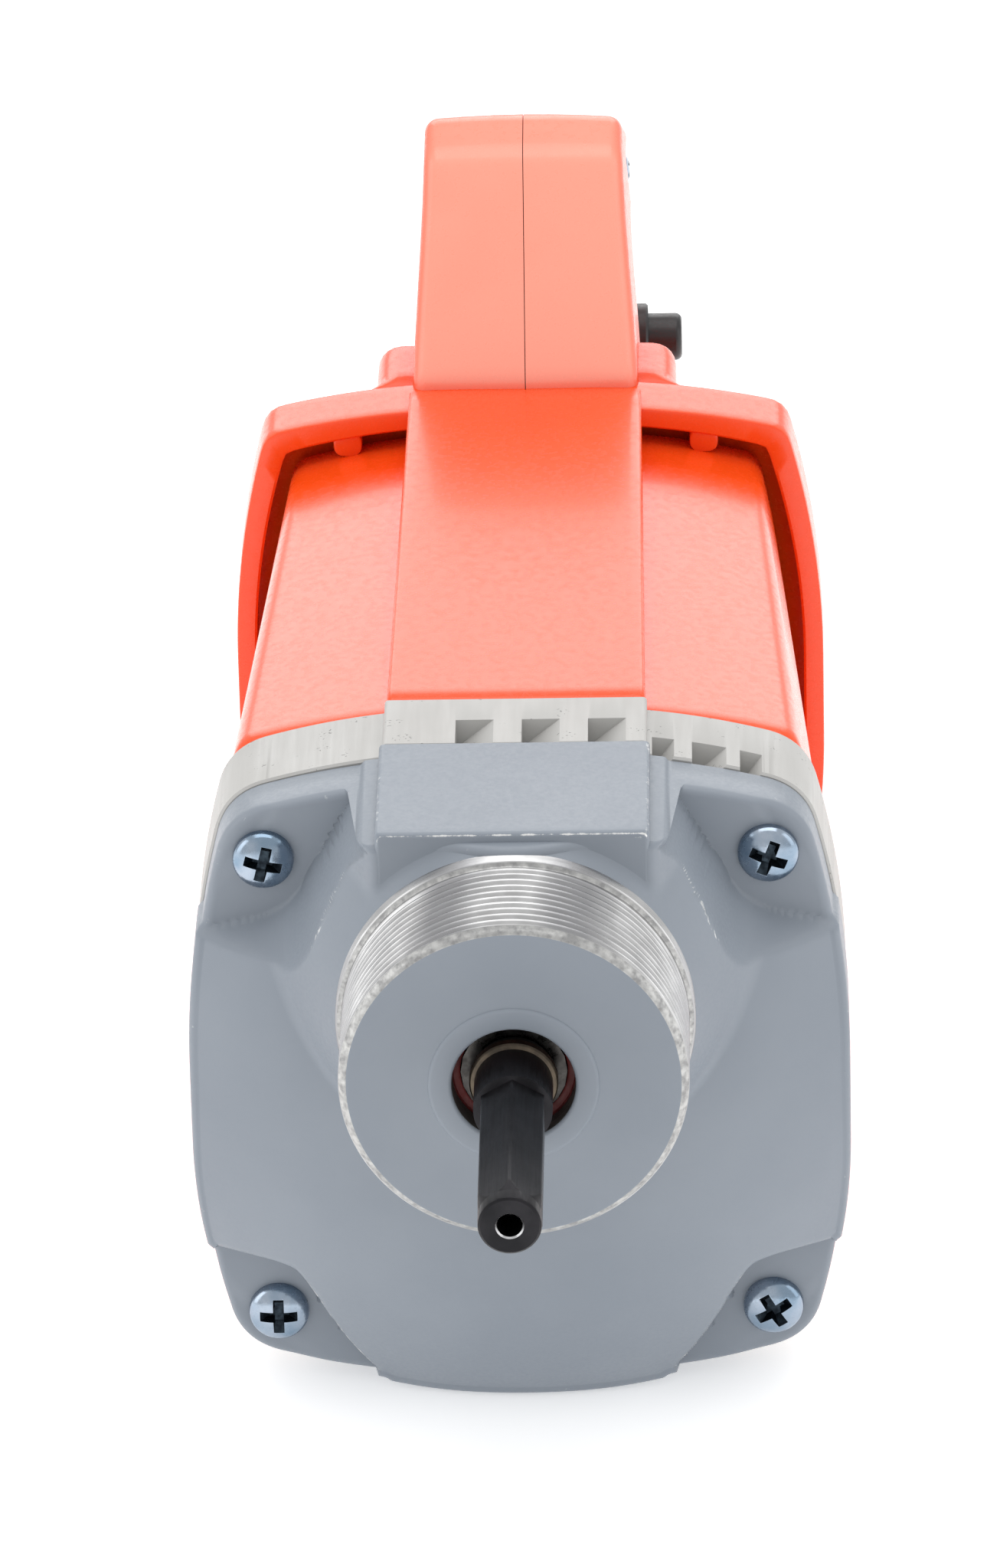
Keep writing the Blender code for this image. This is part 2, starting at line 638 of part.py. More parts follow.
def gear_outline(teeth, shift, first):
    """A spur gear's outline with involute flanks, thinned by the backlash, as (x, z) points."""
    pitch = GEAR_MODULE * teeth / 2
    base = pitch * math.cos(PRESSURE_ANGLE)
    tip = GEAR_MODULE * (teeth / 2 + 1 + shift) - 0.1 * GEAR_MODULE
    root = GEAR_MODULE * (teeth / 2 - 1.25 + shift)
    thickness = GEAR_MODULE * (math.pi / 2 + 2 * shift * math.tan(PRESSURE_ANGLE)) - TOOTH_BACKLASH
    half = thickness / (2 * pitch) + involute(base, pitch)
    low = max(base, root)
    radii = [low + (tip - low) * k / 2 for k in range(3)]
    flank = [(radius, half - involute(base, radius)) for radius in radii]
    flank = [(root, flank[0][1] + 0.02)] + flank if root < base else flank
    points = []
    for tooth in range(teeth):
        middle = first + math.tau * tooth / teeth
        for radius, angle in flank:
            points.append((radius * math.cos(middle - angle), radius * math.sin(middle - angle)))
        for radius, angle in reversed(flank):
            points.append((radius * math.cos(middle + angle), radius * math.sin(middle + angle)))
    return points


def hexagon(across_flats):
    """A hexagon with a corner on top, as (x, z) points."""
    radius = across_flats / math.sqrt(3)
    return [(radius * math.sin(a), radius * math.cos(a)) for a in turns(6)]


def output_spindle(steel):
    """Hexagon drive end, collar, journals and wheel seat, all one turned piece."""
    rear = spindle_rear_station() + SPINDLE_REAR_BEARING[2]
    shoulder = NOSE_WALL + SPINDLE_FRONT_BEARING[2] + GAP
    back = GEAR_START - GAP
    gear_end = GEAR_START + GEAR_WIDTH + GAP
    body = turned([(0, -ROUND_START), (SPINDLE_COLLAR, -ROUND_START), (SPINDLE_COLLAR, NOSE_WALL - GAP),
                   (SPINDLE_JOURNAL, NOSE_WALL - GAP), (SPINDLE_JOURNAL, shoulder),
                   (SPINDLE_SHOULDER, shoulder), (SPINDLE_SHOULDER, back), (SPINDLE_SEAT, back),
                   (SPINDLE_SEAT, gear_end), (SPINDLE_TAIL, gear_end), (SPINDLE_TAIL, rear), (0, rear)])
    spindle = place("output_spindle", body, steel, SPINDLE_Z)
    tip = TIP_TURNED - SPINDLE_OUT
    add(spindle, prism(hexagon(HEX_ACROSS_FLATS), tip, OVER - ROUND_START), SPINDLE_Z)
    add(spindle, rod(HEX_ACROSS_FLATS / 2 - 0.1 * MM, -SPINDLE_OUT, tip + OVER), SPINDLE_Z)
    cut(spindle, rod(CENTRE_HOLE, -SPINDLE_OUT - OVER, CENTRE_HOLE_DEPTH - SPINDLE_OUT, 16), SPINDLE_Z)
    return spindle


def driven_gear(steel):
    """The large wheel on the spindle."""
    outline = gear_outline(WHEEL_TEETH, -TOOTH_SHIFT, math.pi / WHEEL_TEETH - math.pi / 2)
    wheel = place("driven_gear", prism(outline, GEAR_START, GEAR_START + GEAR_WIDTH), steel, SPINDLE_Z)
    cut(wheel, rod(SPINDLE_SEAT + GAP, GEAR_START - OVER, GEAR_START + GEAR_WIDTH + OVER), SPINDLE_Z)
    return wheel


def armature(steel, iron, copper, insulation, plastic):
    """Shaft with its pinion, iron core, windings, commutator and cooling fan."""
    pinion_end = GEAR_START + GEAR_WIDTH + 1.0 * MM
    front = armature_front_station()
    step = front + ARMATURE_FRONT_BEARING[2] + GAP
    rear = rear_bearing_station()
    tail = rear + ARMATURE_REAR_BEARING[2]
    journals = ARMATURE_FRONT_BEARING[0], ARMATURE_REAR_BEARING[0]
    waist = GEAR_MODULE * (PINION_TEETH / 2 - 1.25 + TOOTH_SHIFT) - 0.1 * MM
    shaft = turned([(0, GEAR_START - OVER), (waist, GEAR_START - OVER), (waist, front), (journals[0], front),
                    (journals[0], step), (SHAFT_RADIUS, step), (SHAFT_RADIUS, rear),
                    (journals[1], rear), (journals[1], tail), (0, tail)])
    piece = place("armature_shaft", shaft, steel)
    add(piece, prism(gear_outline(PINION_TEETH, TOOTH_SHIFT, math.pi / 2), GEAR_START, pinion_end))
    bore = SHAFT_RADIUS + GAP
    back = CORE_START + CORE_LENGTH
    place("armature_core", tube(bore, ARMATURE_RADIUS, CORE_START, back, 28), iron)
    winding = tube(bore, WINDING_RADIUS, CORE_START - WINDING_OVERHANG, CORE_START - GAP)
    place("front_winding", winding, copper)
    place("rear_winding", tube(bore, WINDING_RADIUS, back + GAP, back + WINDING_OVERHANG), copper)
    start = COMMUTATOR_START
    place("commutator", tube(bore, COMMUTATOR_RADIUS, start, start + COMMUTATOR_LENGTH), copper)
    collar = tube(bore, COMMUTATOR_RADIUS - 2.0 * MM, start - 3.0 * MM, start - GAP, 24)
    place("commutator_collar", collar, insulation)
    cooling_fan(plastic, bore)


def tube(inner, outer, start, end, segments=ROUND):
    """A plain ring or sleeve round the axis."""
    return turned([(inner, start), (outer, start), (outer, end), (inner, end)], segments)


def cooling_fan(plastic, bore):
    """Radial fan: a disc with straight blades in front of it and a hub."""
    end = FAN_START + FAN_WIDTH
    disc = end - FAN_DISC
    hub = bore + 4.0 * MM
    profile = [(bore, FAN_START), (hub, FAN_START), (hub, disc), (FAN_RADIUS, disc), (FAN_RADIUS, end),
               (bore, end)]
    fan = place("cooling_fan", turned(profile, 28), plastic)
    blades = []
    for angle in turns(FAN_BLADES):
        outer = (FAN_RADIUS - 0.5 * MM, end - FAN_DISC / 2, BLADE_HALF)
        blade = box((hub + 3.0 * MM, FAN_START, -BLADE_HALF), outer)
        turn(blade, angle, "Y")
        blades.append(blade)
    add(fan, joined(blades))


def stator(iron, copper, zinc):
    """Laminated stator core, its two field coils and the screws that hold it."""
    end = CORE_START + CORE_LENGTH
    core = place("stator_core", prism(barrel(STATOR, 0.0, 14.0 * MM, 3, 3), CORE_START, end), iron)
    cut(core, rod(ARMATURE_RADIUS + AIR_GAP, CORE_START - OVER, end + OVER, 28))
    slots = []
    middle, half, height = COIL_SLOT
    for side in (-1, 1):
        low = (side * middle - half, CORE_START - OVER, -height)
        slots.append(box(low, (side * middle + half, end + OVER, height)))
    cut(core, joined(slots))
    holes = [rod(2.3 * MM, CORE_START - OVER, end + OVER, 12, at) for at in stator_screw_places()]
    cut(core, joined(holes))
    for name, first in (("upper_field_coil", 0), ("lower_field_coil", 180)):
        field_coil(name, first, end, copper)
    for number, (x, z) in enumerate(stator_screw_places(), 1):
        screw = pan_head_screw(2.0 * MM, CORE_LENGTH + 4.0 * MM, 3.6 * MM, 2.6 * MM, 12)
        place(f"stator_screw_{number}", moved(screw, x, CORE_START - GAP, z), zinc)


def stator_screw_places():
    """The two long screws through the stator core."""
    return [(0.0, STATOR["mid_h"] - 5.5 * MM), (0.0, 5.5 * MM - STATOR["mid_h"])]


def arc_band(inner, outer, first, last, steps):
    """A flat band between two radii and two angles in degrees, as (x, z) points."""
    angles = [math.radians(first + (last - first) * k / steps) for k in range(steps + 1)]
    outline = [(outer * math.cos(a), outer * math.sin(a)) for a in angles]
    return outline + [(inner * math.cos(a), inner * math.sin(a)) for a in reversed(angles)]


def field_coil(name, first, end, copper):
    """A saddle coil over half the armature: two legs in the core's slots, an arch past each end."""
    inner, outer = ARMATURE_RADIUS + AIR_GAP + 0.7 * MM, ARMATURE_RADIUS + 8.0 * MM
    front, back = CORE_START - WINDING_OVERHANG, end + WINDING_OVERHANG
    arch = arc_band(inner, outer, first + 3, first + 177, 12)
    coil = place(name, prism(arch, front, CORE_START - GAP), copper)
    add(coil, prism(arch, end + GAP, back))
    for low, high in ((3, 28), (152, 177)):
        add(coil, prism(arc_band(inner, outer, first + low, first + high, 3), front + OVER, back - OVER))


def brush_gear(brass, carbon, steel, plastic):
    """A holder, carbon brush, spring and screw cap on each side of the commutator."""
    station = COMMUTATOR_START + COMMUTATOR_LENGTH / 2
    along, across = BRUSH_SIZE[0] / 2, BRUSH_SIZE[1] / 2
    for side, name in ((-1, "left"), (1, "right")):
        tip = COMMUTATOR_RADIUS + GAP
        foot = tip + BRUSH_LENGTH
        place(f"{name}_brush", side_block(side, tip, foot, station, along, across), carbon)
        start = COMMUTATOR_RADIUS + 3.0 * MM
        wall = HOLDER_WALL + GAP
        body = side_block(side, start, HOLDER_END, station, along + wall, across + wall)
        holder = place(f"{name}_brush_holder", body, brass)
        cut(holder, side_block(side, start - OVER, HOLDER_END + OVER, station, along + GAP, across + GAP))
        spring = coil_spring(side * (foot + GAP), side * (HOLDER_END - 1.0 * MM), station)
        place(f"{name}_brush_spring", spring, steel)
        ends = sorted((side * (HOLDER_END + 2 * GAP), side * CAP_END))
        cap = cross_rod(CAP_RADIUS - 0.5 * MM, *ends, station, 0.0)
        cap = place(f"{name}_brush_cap", cap, plastic)
        cut(cap, side_block(side, CAP_END - 1.5 * MM, CAP_END + OVER, station, 6.0 * MM, 0.8 * MM))


def side_block(side, near, far, station, along, across):
    """A box on one side of the shaft, from near to far across X, given by half sizes."""
    low, high = sorted((side * near, side * far))
    return box((low, station - along, -across), (high, station + along, across))


def coil_spring(start, end, station):
    """A round-wire spring along X, as a swept tube."""
    wire, radius, coils, per_turn, sides = 0.35 * MM, 2.4 * MM, 4, 7, 3
    inset = math.copysign(wire, end - start)
    loops = []
    for k in range(coils * per_turn + 1):
        angle = math.tau * k / per_turn
        share = k / (coils * per_turn)
        x = start + inset + (end - start - 2 * inset) * share
        loop = []
        for a in turns(sides):
            r = radius + wire * math.cos(a)
            loop.append((x + wire * math.sin(a), station + r * math.cos(angle), r * math.sin(angle)))
        loops.append(loop)
    return loft(loops)


def grip_front():
    """Station of the grip's front face, which the fingers hold."""
    return HANDLE_END - GRIP_DEPTH


def handle_outline(inset=0.0):
    """The closed handle's outer side view, as (station, z) points round the motor axis."""
    start = BELL_STEP - 4.0 * MM + inset
    top, bottom = HANDLE_TOP - inset, HANDLE_BOTTOM + inset
    end = HANDLE_END - inset
    points = [(start, bottom + 4.0 * MM), (start, BLOCK_TOP - inset),
              (start + 22.0 * MM - 0.4 * inset, top - 2.0 * MM), (start + 32.0 * MM, top - 0.5 * MM),
              (end - 36.0 * MM, top - 14.0 * MM), (end - 9.0 * MM, top - 28.0 * MM), (end, top - 46.0 * MM),
              (end - 2.0 * MM, 0.0), (end - 7.0 * MM, bottom + 10.0 * MM), (end - 18.0 * MM, bottom),
              (start + 40.0 * MM, bottom)]
    return rounded(points, 9.0 * MM, 2)


def hand_hole(outset=0.0):
    """The opening for the hand, as (station, z) points."""
    front = HAND_HOLE_START - outset
    back = grip_front() + outset
    top, bottom = HOLE_TOP + outset, HOLE_BOTTOM - outset
    points = [(front, bottom), (front, top - 8.0 * MM), (front + 6.0 * MM, top), (back - 6.0 * MM, top),
              (back, top - 12.0 * MM), (back - 3.0 * MM, bottom)]
    return rounded(points, 8.0 * MM, 2)


def soft_sided(outline, half, radius):
    """A side view thickened across X, with both long edges eased by a chamfered step."""
    centre = Vector((sum(p[0] for p in outline), sum(p[1] for p in outline))) / len(outline)
    eased = []
    count = len(outline)
    for i in range(count):
        before, here, after = Vector(outline[i - 1]), Vector(outline[i]), Vector(outline[(i + 1) % count])
        along = (after - before).normalized()
        inward = Vector((along.y, -along.x))
        if inward.dot(centre - here) < 0:
            inward = -inward
        eased.append(tuple(here + inward * radius * 0.6))
    loops = []
    for x, line in ((-half, eased), (radius - half, outline), (half - radius, outline), (half, eased)):
        loops.append([(x, y, z) for y, z in line])
    return loft(loops)


def bell_mesh(inset, start, end):
    """The wide front of the rear shell, or the space inside it."""
    return prism(barrel(BELL, inset), start, end)


def neck_mesh(inset, start, end):
    """The narrower box between bell and handle, or the space inside it."""
    half = NECK_HALF - inset
    low, high = NECK_BOTTOM + inset, NECK_TOP - inset
    outline = [(-half, low), (half, low), (half, high), (-half, high)]
    return prism(rounded(outline, 8.0 * MM, 3), start, end)


def handle_screw_places():
    """Where the two handle halves are screwed together, as (station, z)."""
    return [(NECK_END + 5.0 * MM, HOLE_TOP + 10.0 * MM), (grip_front() + 6.0 * MM, HOLE_TOP + 1.0 * MM),
            (HANDLE_END - 10.0 * MM, -2.0 * MM), (HANDLE_END - 22.0 * MM, HANDLE_BOTTOM + 13.0 * MM),
            (NECK_END + 3.0 * MM, HANDLE_BOTTOM + 13.0 * MM)]


def lock_place():
    """Station and height of the lock button's axis."""
    return grip_front() + 13.0 * MM, TRIGGER_BOTTOM + 17.0 * MM


def gland_station():
    """Station of the cord inlet under the grip."""
    return HANDLE_END - 35.0 * MM


def handle_half(name, side, plastic):
    """One half of the rear shell: bell, neck and closed handle, hollow, split on the middle plane."""
    half = place(name, bell_mesh(0.0, BELL_START, BELL_STEP + SHELL_WALL), plastic)
    add(half, neck_mesh(0.0, BELL_STEP, NECK_END))
    add(half, soft_sided(handle_outline(), HANDLE_HALF, HANDLE_ROUND))
    cut(half, bell_mesh(SHELL_WALL, BELL_START - OVER, BELL_STEP))
    cut(half, neck_mesh(SHELL_WALL, BELL_STEP - OVER, NECK_END - SHELL_WALL))
    cut(half, side_prism(hand_hole(), -HANDLE_HALF - OVER, HANDLE_HALF + OVER))
    core = HANDLE_HALF - HANDLE_WALL
    inner = place(f"{name}_core", side_prism(handle_outline(HANDLE_WALL), -core, core), None)
    cut(inner, side_prism(hand_hole(HANDLE_WALL), -HANDLE_HALF, HANDLE_HALF))
    bosses = [cross_rod(4.0 * MM, -HANDLE_HALF, HANDLE_HALF, y, z, 12) for y, z in handle_screw_places()]
    cut(inner, joined(bosses))
    hide(inner)
    modifier = half.modifiers.new("hollow", "BOOLEAN")
    modifier.operation = "DIFFERENCE"
    modifier.object = inner
    modifier.solver = "EXACT"
    band = BAND_HALF + 1.2 * MM
    cut(half, box((-band, BELL_START - OVER, 0.0), (band, BAND_END + GAP, BLOCK_TOP + 5.0 * MM)))
    slot = TRIGGER_HALF + TRIGGER_CLEARANCE
    cut(half, box((-slot, grip_front() - 6.0 * MM, TRIGGER_BOTTOM - 1.5 * MM),
                  (slot, grip_front() + HANDLE_WALL + 2.0 * MM, TRIGGER_TOP + 3.0 * MM)))
    floor = HANDLE_BOTTOM + HANDLE_WALL + 2.0 * MM
    cut(half, upright_rod(GLAND_NECK + GAP, gland_station(), HANDLE_BOTTOM - 5.0 * MM, floor))
    reach = HANDLE_HALF + OVER
    start = HANDLE_WALL - HANDLE_HALF
    hole, head = HANDLE_SCREW_RADIUS + GAP, 2 * HANDLE_SCREW_RADIUS + 2 * GAP
    places = handle_screw_places()
    cut(half, joined([cross_rod(hole, start, reach, y, z, 12) for y, z in places]))
    cut(half, joined([cross_rod(head, HANDLE_HALF - HEAD_SEAT_DEPTH, reach, y, z, 16) for y, z in places]))
    if side > 0:
        station, z = lock_place()
        cut(half, cross_rod(LOCK_RADIUS + GAP, HANDLE_HALF - 2 * HANDLE_WALL, HANDLE_HALF + OVER, station, z))
    wide = 70.0 * MM
    edge = sorted((-side * wide, side * GAP / 2))
    cut(half, box((edge[0], BELL_START - 2 * OVER, -80.0 * MM), (edge[1], HANDLE_END + OVER, 120.0 * MM)))
    return half


def hide(obj):
    """Marks an object as a guide that isn't part of the model."""
    obj.hide_render = True
    obj.display_type = "WIRE"


def handle_screws(zinc):
    """The five screws that join the handle's halves, driven in from the right."""
    for number, (y, z) in enumerate(handle_screw_places(), 1):
        screw = pan_head_screw(HANDLE_SCREW_RADIUS, 28.0 * MM, 2.1 * HANDLE_SCREW_RADIUS, 2.0 * MM, 12)
        turn(screw, math.pi / 2, "Z")
        place(f"handle_screw_{number}", moved(screw, HANDLE_HALF - HEAD_SEAT_DEPTH + GAP, y, z), zinc)


def trigger_pivot():
    """Station and height of the trigger's hinge."""
    return grip_front() + 8.0 * MM, TRIGGER_TOP - 3.0 * MM


def trigger(plastic):
    """Finger trigger in the grip's front, hinged at its top."""
    station, height = trigger_pivot()
    front = grip_front()
    tip = front - TRIGGER_OUT
    points = [(front + 7.0 * MM, TRIGGER_TOP), (front + 1.0 * MM, TRIGGER_TOP),
              (front - TRIGGER_OUT * 0.6, TRIGGER_TOP - 8.0 * MM), (tip, TRIGGER_BOTTOM + 16.0 * MM),
              (tip + 0.6 * MM, TRIGGER_BOTTOM + 5.0 * MM), (front - 5.0 * MM, TRIGGER_BOTTOM),
              (front + 3.0 * MM, TRIGGER_BOTTOM + 1.0 * MM), (front + 5.0 * MM, TRIGGER_BOTTOM + 14.0 * MM),
              (station + 2.5 * MM, height - 4.0 * MM)]
    outline = [(y - station, z - height) for y, z in rounded(points, 2.5 * MM, 2)]
    obj = place("trigger", side_prism(outline, -TRIGGER_HALF, TRIGGER_HALF), plastic, MOTOR_Z + height)
    obj.location.y = NOSE_Y + station
    return obj


def lock_button(plastic):
    """Button on the right side that holds the trigger in."""
    station, z = lock_place()
    start = HANDLE_HALF - 2 * HANDLE_WALL + GAP + LOCK_TRAVEL + 1.0 * MM
    end = HANDLE_HALF + LOCK_OUT
    radius = LOCK_RADIUS - 0.2 * MM
    bevel = 1.2 * MM
    button = turned([(0, start), (radius, start), (radius, end - bevel), (radius - bevel, end), (0, end)], 24)
    turn(button, -math.pi / 2, "Z")
    obj = place("lock_button", button, plastic, MOTOR_Z + z)
    obj.location.y = NOSE_Y + station
    return obj


def inner_fittings(dark, blue):
    """Switch, interference capacitor and cord inlet inside the handle."""
    front = grip_front() + 15.5 * MM
    lock_z = lock_place()[1]
    place("switch_body", box((-9.0 * MM, front, TRIGGER_BOTTOM - 6.0 * MM),
                             (9.0 * MM, front + 8.0 * MM, lock_z + 12.0 * MM)), dark)
    start = BELL_STEP + 1.0 * MM
    place("capacitor", box((-8.0 * MM, start, -8.0 * MM), (8.0 * MM, start + 10.0 * MM, 14.0 * MM)), blue)
    bottom = HANDLE_BOTTOM
    clip = bottom + HANDLE_WALL + GAP
    collar = GLAND_RADIUS - 0.5 * MM
    top = bottom + HANDLE_WALL + 2.0 * MM
    profile = [(CORD_HOLE, bottom - 4.0 * MM), (GLAND_RADIUS - 1.5 * MM, bottom - 4.0 * MM),
               (GLAND_RADIUS, bottom - 1.5 * MM), (GLAND_RADIUS, bottom - GAP), (GLAND_NECK, bottom - GAP),
               (GLAND_NECK, clip), (collar, clip), (collar, top), (CORD_HOLE, top)]
    gland = turned(profile, 20)
    turn(gland, math.pi / 2, "X")
    place("cord_inlet", moved(gland, 0.0, gland_station(), 0.0), dark)


def build():
    """Builds the whole tool."""
    clear_scene()
    paint = finish("grey_painted_casting", (0.36, 0.39, 0.42), 0.45)
    machined = finish("machined_steel", (0.62, 0.62, 0.62), 0.3, 1.0)
    alloy = finish("bare_alloy", (0.7, 0.7, 0.7), 0.4, 1.0)
    orange = finish("orange_plastic", (0.90, 0.06, 0.012), 0.25)
    warm_grey = finish("light_grey_plastic", (0.62, 0.61, 0.59), 0.5)
    black = finish("black_plastic", (0.015, 0.015, 0.016), 0.4)
    zinc = finish("blue_zinc", (0.55, 0.62, 0.72), 0.25, 1.0)
    black_oxide = finish("black_oxide_steel", (0.03, 0.03, 0.032), 0.4, 0.8)
    red_rubber = finish("red_rubber", (0.18, 0.01, 0.008), 0.6)
    copper = finish("enamelled_copper", (0.5, 0.16, 0.06), 0.4, 0.8)
    iron = finish("lamination_iron", (0.25, 0.25, 0.26), 0.5, 0.9)
    brass = finish("brass", (0.7, 0.5, 0.2), 0.35, 1.0)
    carbon = finish("carbon", (0.02, 0.02, 0.02), 0.7)
    blue = finish("capacitor_blue", (0.05, 0.12, 0.4), 0.4)
    gear_cover(paint)
    cover_screws(zinc)
    baffle_ring(warm_grey)
    bearing_plate(alloy)
    plate_screws(zinc)
    stator_housing(orange)
    bearings(machined, red_rubber)
    retaining_ring(machined)
    output_spindle(black_oxide)
    driven_gear(machined)
    armature(machined, iron, copper, black, black)
    stator(iron, copper, zinc)
    brush_gear(brass, carbon, machined, black)
    handle_half("left_handle_shell", -1, orange)
    handle_half("right_handle_shell", 1, orange)
    handle_screws(zinc)
    trigger(black)
    lock_button(black)
    inner_fittings(black, blue)


build()
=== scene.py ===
"""Looks of a hand-held concrete vibrator drive unit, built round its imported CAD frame.

Sizes are millimetres inside the classes and become metres in Datum.point. Stations run backwards
from the nose's front face; heights are above the motor axis unless a name says otherwise.
"""

import json
import logging
import math
from dataclasses import dataclass, field
from enum import Enum
from typing import Callable, Iterable, Optional, Sequence

import bmesh
import bpy
from mathutils import Matrix, Vector


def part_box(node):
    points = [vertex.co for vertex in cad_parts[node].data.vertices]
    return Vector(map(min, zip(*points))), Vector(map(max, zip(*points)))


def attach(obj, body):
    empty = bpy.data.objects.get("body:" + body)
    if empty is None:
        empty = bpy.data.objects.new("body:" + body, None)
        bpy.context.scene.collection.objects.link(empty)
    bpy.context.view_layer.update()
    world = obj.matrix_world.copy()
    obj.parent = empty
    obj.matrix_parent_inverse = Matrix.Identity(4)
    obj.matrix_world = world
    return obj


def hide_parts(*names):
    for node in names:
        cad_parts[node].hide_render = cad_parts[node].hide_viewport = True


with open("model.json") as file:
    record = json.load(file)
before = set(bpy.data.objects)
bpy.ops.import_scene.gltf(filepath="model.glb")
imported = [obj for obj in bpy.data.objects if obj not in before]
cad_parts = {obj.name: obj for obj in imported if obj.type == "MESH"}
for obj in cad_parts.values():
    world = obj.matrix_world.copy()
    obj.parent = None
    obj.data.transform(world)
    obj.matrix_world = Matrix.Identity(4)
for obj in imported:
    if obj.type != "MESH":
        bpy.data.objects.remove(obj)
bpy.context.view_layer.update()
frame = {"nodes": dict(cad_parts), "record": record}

MM = 0.001
SHARP = 32.0
Pair = tuple[float, float]
Point = tuple[float, float, float]
Colour = tuple[float, float, float]
log = logging.getLogger("drive_unit")


# ---------------------------------------------------------------- datum and geometry helpers


@dataclass(frozen=True)
class Datum:
    """Where the tool's two axes lie in the frame, in metres."""

    nose_y: float
    motor_z: float
    spindle_z: float

    @classmethod
    def from_frame(cls) -> "Datum":
        """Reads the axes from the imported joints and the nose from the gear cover's box.

        Returns:
            The datum that every piece is placed by.
        """
        joints = frame["record"]["behaviour"]["joints"]
        places = {joint["name"]: joint["pos_m"] for joint in joints if "pos_m" in joint}
        nose_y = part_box("gear_cover")[0][1]
        return cls(nose_y, places["armature_spin"][2], places["spindle_spin"][2])

    @property
    def offset(self) -> float:
        """Height of the spindle axis above the motor axis, in millimetres."""
        return (self.spindle_z - self.motor_z) / MM

    def station(self, y: float) -> float:
        """The station of a place in the frame, in millimetres."""
        return (y - self.nose_y) / MM

    def height(self, z: float) -> float:
        """The height of a place in the frame above the motor axis, in millimetres."""
        return (z - self.motor_z) / MM

    def point(self, x: float, station: float, height: float) -> Point:
        """Millimetres round the motor axis as metres in the frame."""
        return (x * MM, self.nose_y + station * MM, self.motor_z + height * MM)


def clamp(value: float, low: float = 0.0, high: float = 1.0) -> float:
    """The value, kept between low and high."""
    return max(low, min(high, value))


def smooth(value: float, low: float, high: float) -> float:
    """A soft step from 0 at low to 1 at high."""
    t = clamp((value - low) / (high - low))
    return t * t * (3 - 2 * t)


def soft_max(a: float, b: float, width: float) -> float:
    """The larger of two values, with the corner between them rounded over a width."""
    h = clamp(0.5 + 0.5 * (a - b) / width)
    return b + (a - b) * h + width * h * (1 - h)


def soft_min(a: float, b: float, width: float) -> float:
    """The smaller of two values, with the corner between them rounded over a width."""
    return -soft_max(-a, -b, width)


def soft_ramp(value: float, width: float) -> float:
    """0 below zero, the value above it, and a smooth start in between."""
    return soft_max(value, 0.0, width)


def turns(count: int) -> list[float]:
    """Evenly spaced angles round a full turn."""
    return [math.tau * k / count for k in range(count)]


def spread(low: float, high: float, count: int) -> list[float]:
    """Evenly spaced values from low to high, both included."""
    return [low + (high - low) * k / (count - 1) for k in range(count)]


def arc(centre: Pair, radius: float, first: float, last: float, count: int) -> list[Pair]:
    """Points along an arc, with angles in degrees."""
    angles = [math.radians(a) for a in spread(first, last, count)]
    return [(centre[0] + radius * math.cos(a), centre[1] + radius * math.sin(a)) for a in angles]


def eased(radius: float, first: float, last: float, count: int) -> list[Pair]:
    """How far a rounded edge lies inside each of its two faces, with angles in degrees."""
    angles = [math.radians(a) for a in spread(first, last, count)]
    return [(radius * (1 - math.sin(a)), radius * (1 - math.cos(a))) for a in angles]


def curved(start: Vector, corner: Vector, end: Vector, t: float) -> Pair:
    """A point of the curve from start to end that a corner pulls towards itself."""
    return tuple((1 - t) ** 2 * start + 2 * t * (1 - t) * corner + t ** 2 * end)


def rounded(points: Sequence[Pair], radius: float, steps: int) -> list[Pair]:
    """A closed outline with its corners rounded.

    Args:
        points: The outline's corners.
        radius: The wanted radius, limited by the sides next to each corner.
        steps: How many pieces each rounding has.

    Returns:
        The outline with every corner replaced by a curve.
    """
    outline: list[Pair] = []
    for i, here in enumerate(points):
        corner = Vector(here)
        before = Vector(points[i - 1]) - corner
        after = Vector(points[(i + 1) % len(points)]) - corner
        reach = min(radius / math.tan(before.angle(after) / 2), 0.45 * before.length, 0.45 * after.length)
        start = corner + before.normalized() * reach
        end = corner + after.normalized() * reach
        outline += [curved(start, corner, end, k / steps) for k in range(steps + 1)]
    return outline


def resampled(points: Sequence[Pair], count: int) -> list[Pair]:
    """The same closed outline with evenly spaced points."""
    closed = list(points) + [points[0]]
    lengths = [0.0]
    for a, b in zip(closed, closed[1:]):
        lengths.append(lengths[-1] + math.dist(a, b))
    result: list[Pair] = []
    k = 0
    for i in range(count):
        wanted = lengths[-1] * i / count
        while lengths[k + 1] < wanted:
            k += 1
        t = (wanted - lengths[k]) / max(lengths[k + 1] - lengths[k], 1e-9)
        result.append(tuple(a + (b - a) * t for a, b in zip(closed[k], closed[k + 1])))
    return result


def from_bottom(points: Sequence[Pair]) -> list[Pair]:
    """A closed outline that starts where it crosses the middle line at its bottom, and runs anticlockwise."""
    middle = (min(p[0] for p in points) + max(p[0] for p in points)) / 2
    height = (min(p[1] for p in points) + max(p[1] for p in points)) / 2
    for i, here in enumerate(points):
        after = points[(i + 1) % len(points)]
        if here[1] < height and here[0] < middle <= after[0]:
            t = (middle - here[0]) / (after[0] - here[0])
            first = (middle, here[1] + (after[1] - here[1]) * t)
            return [first, *points[i + 1:], *points[:i + 1]]
    return list(points)


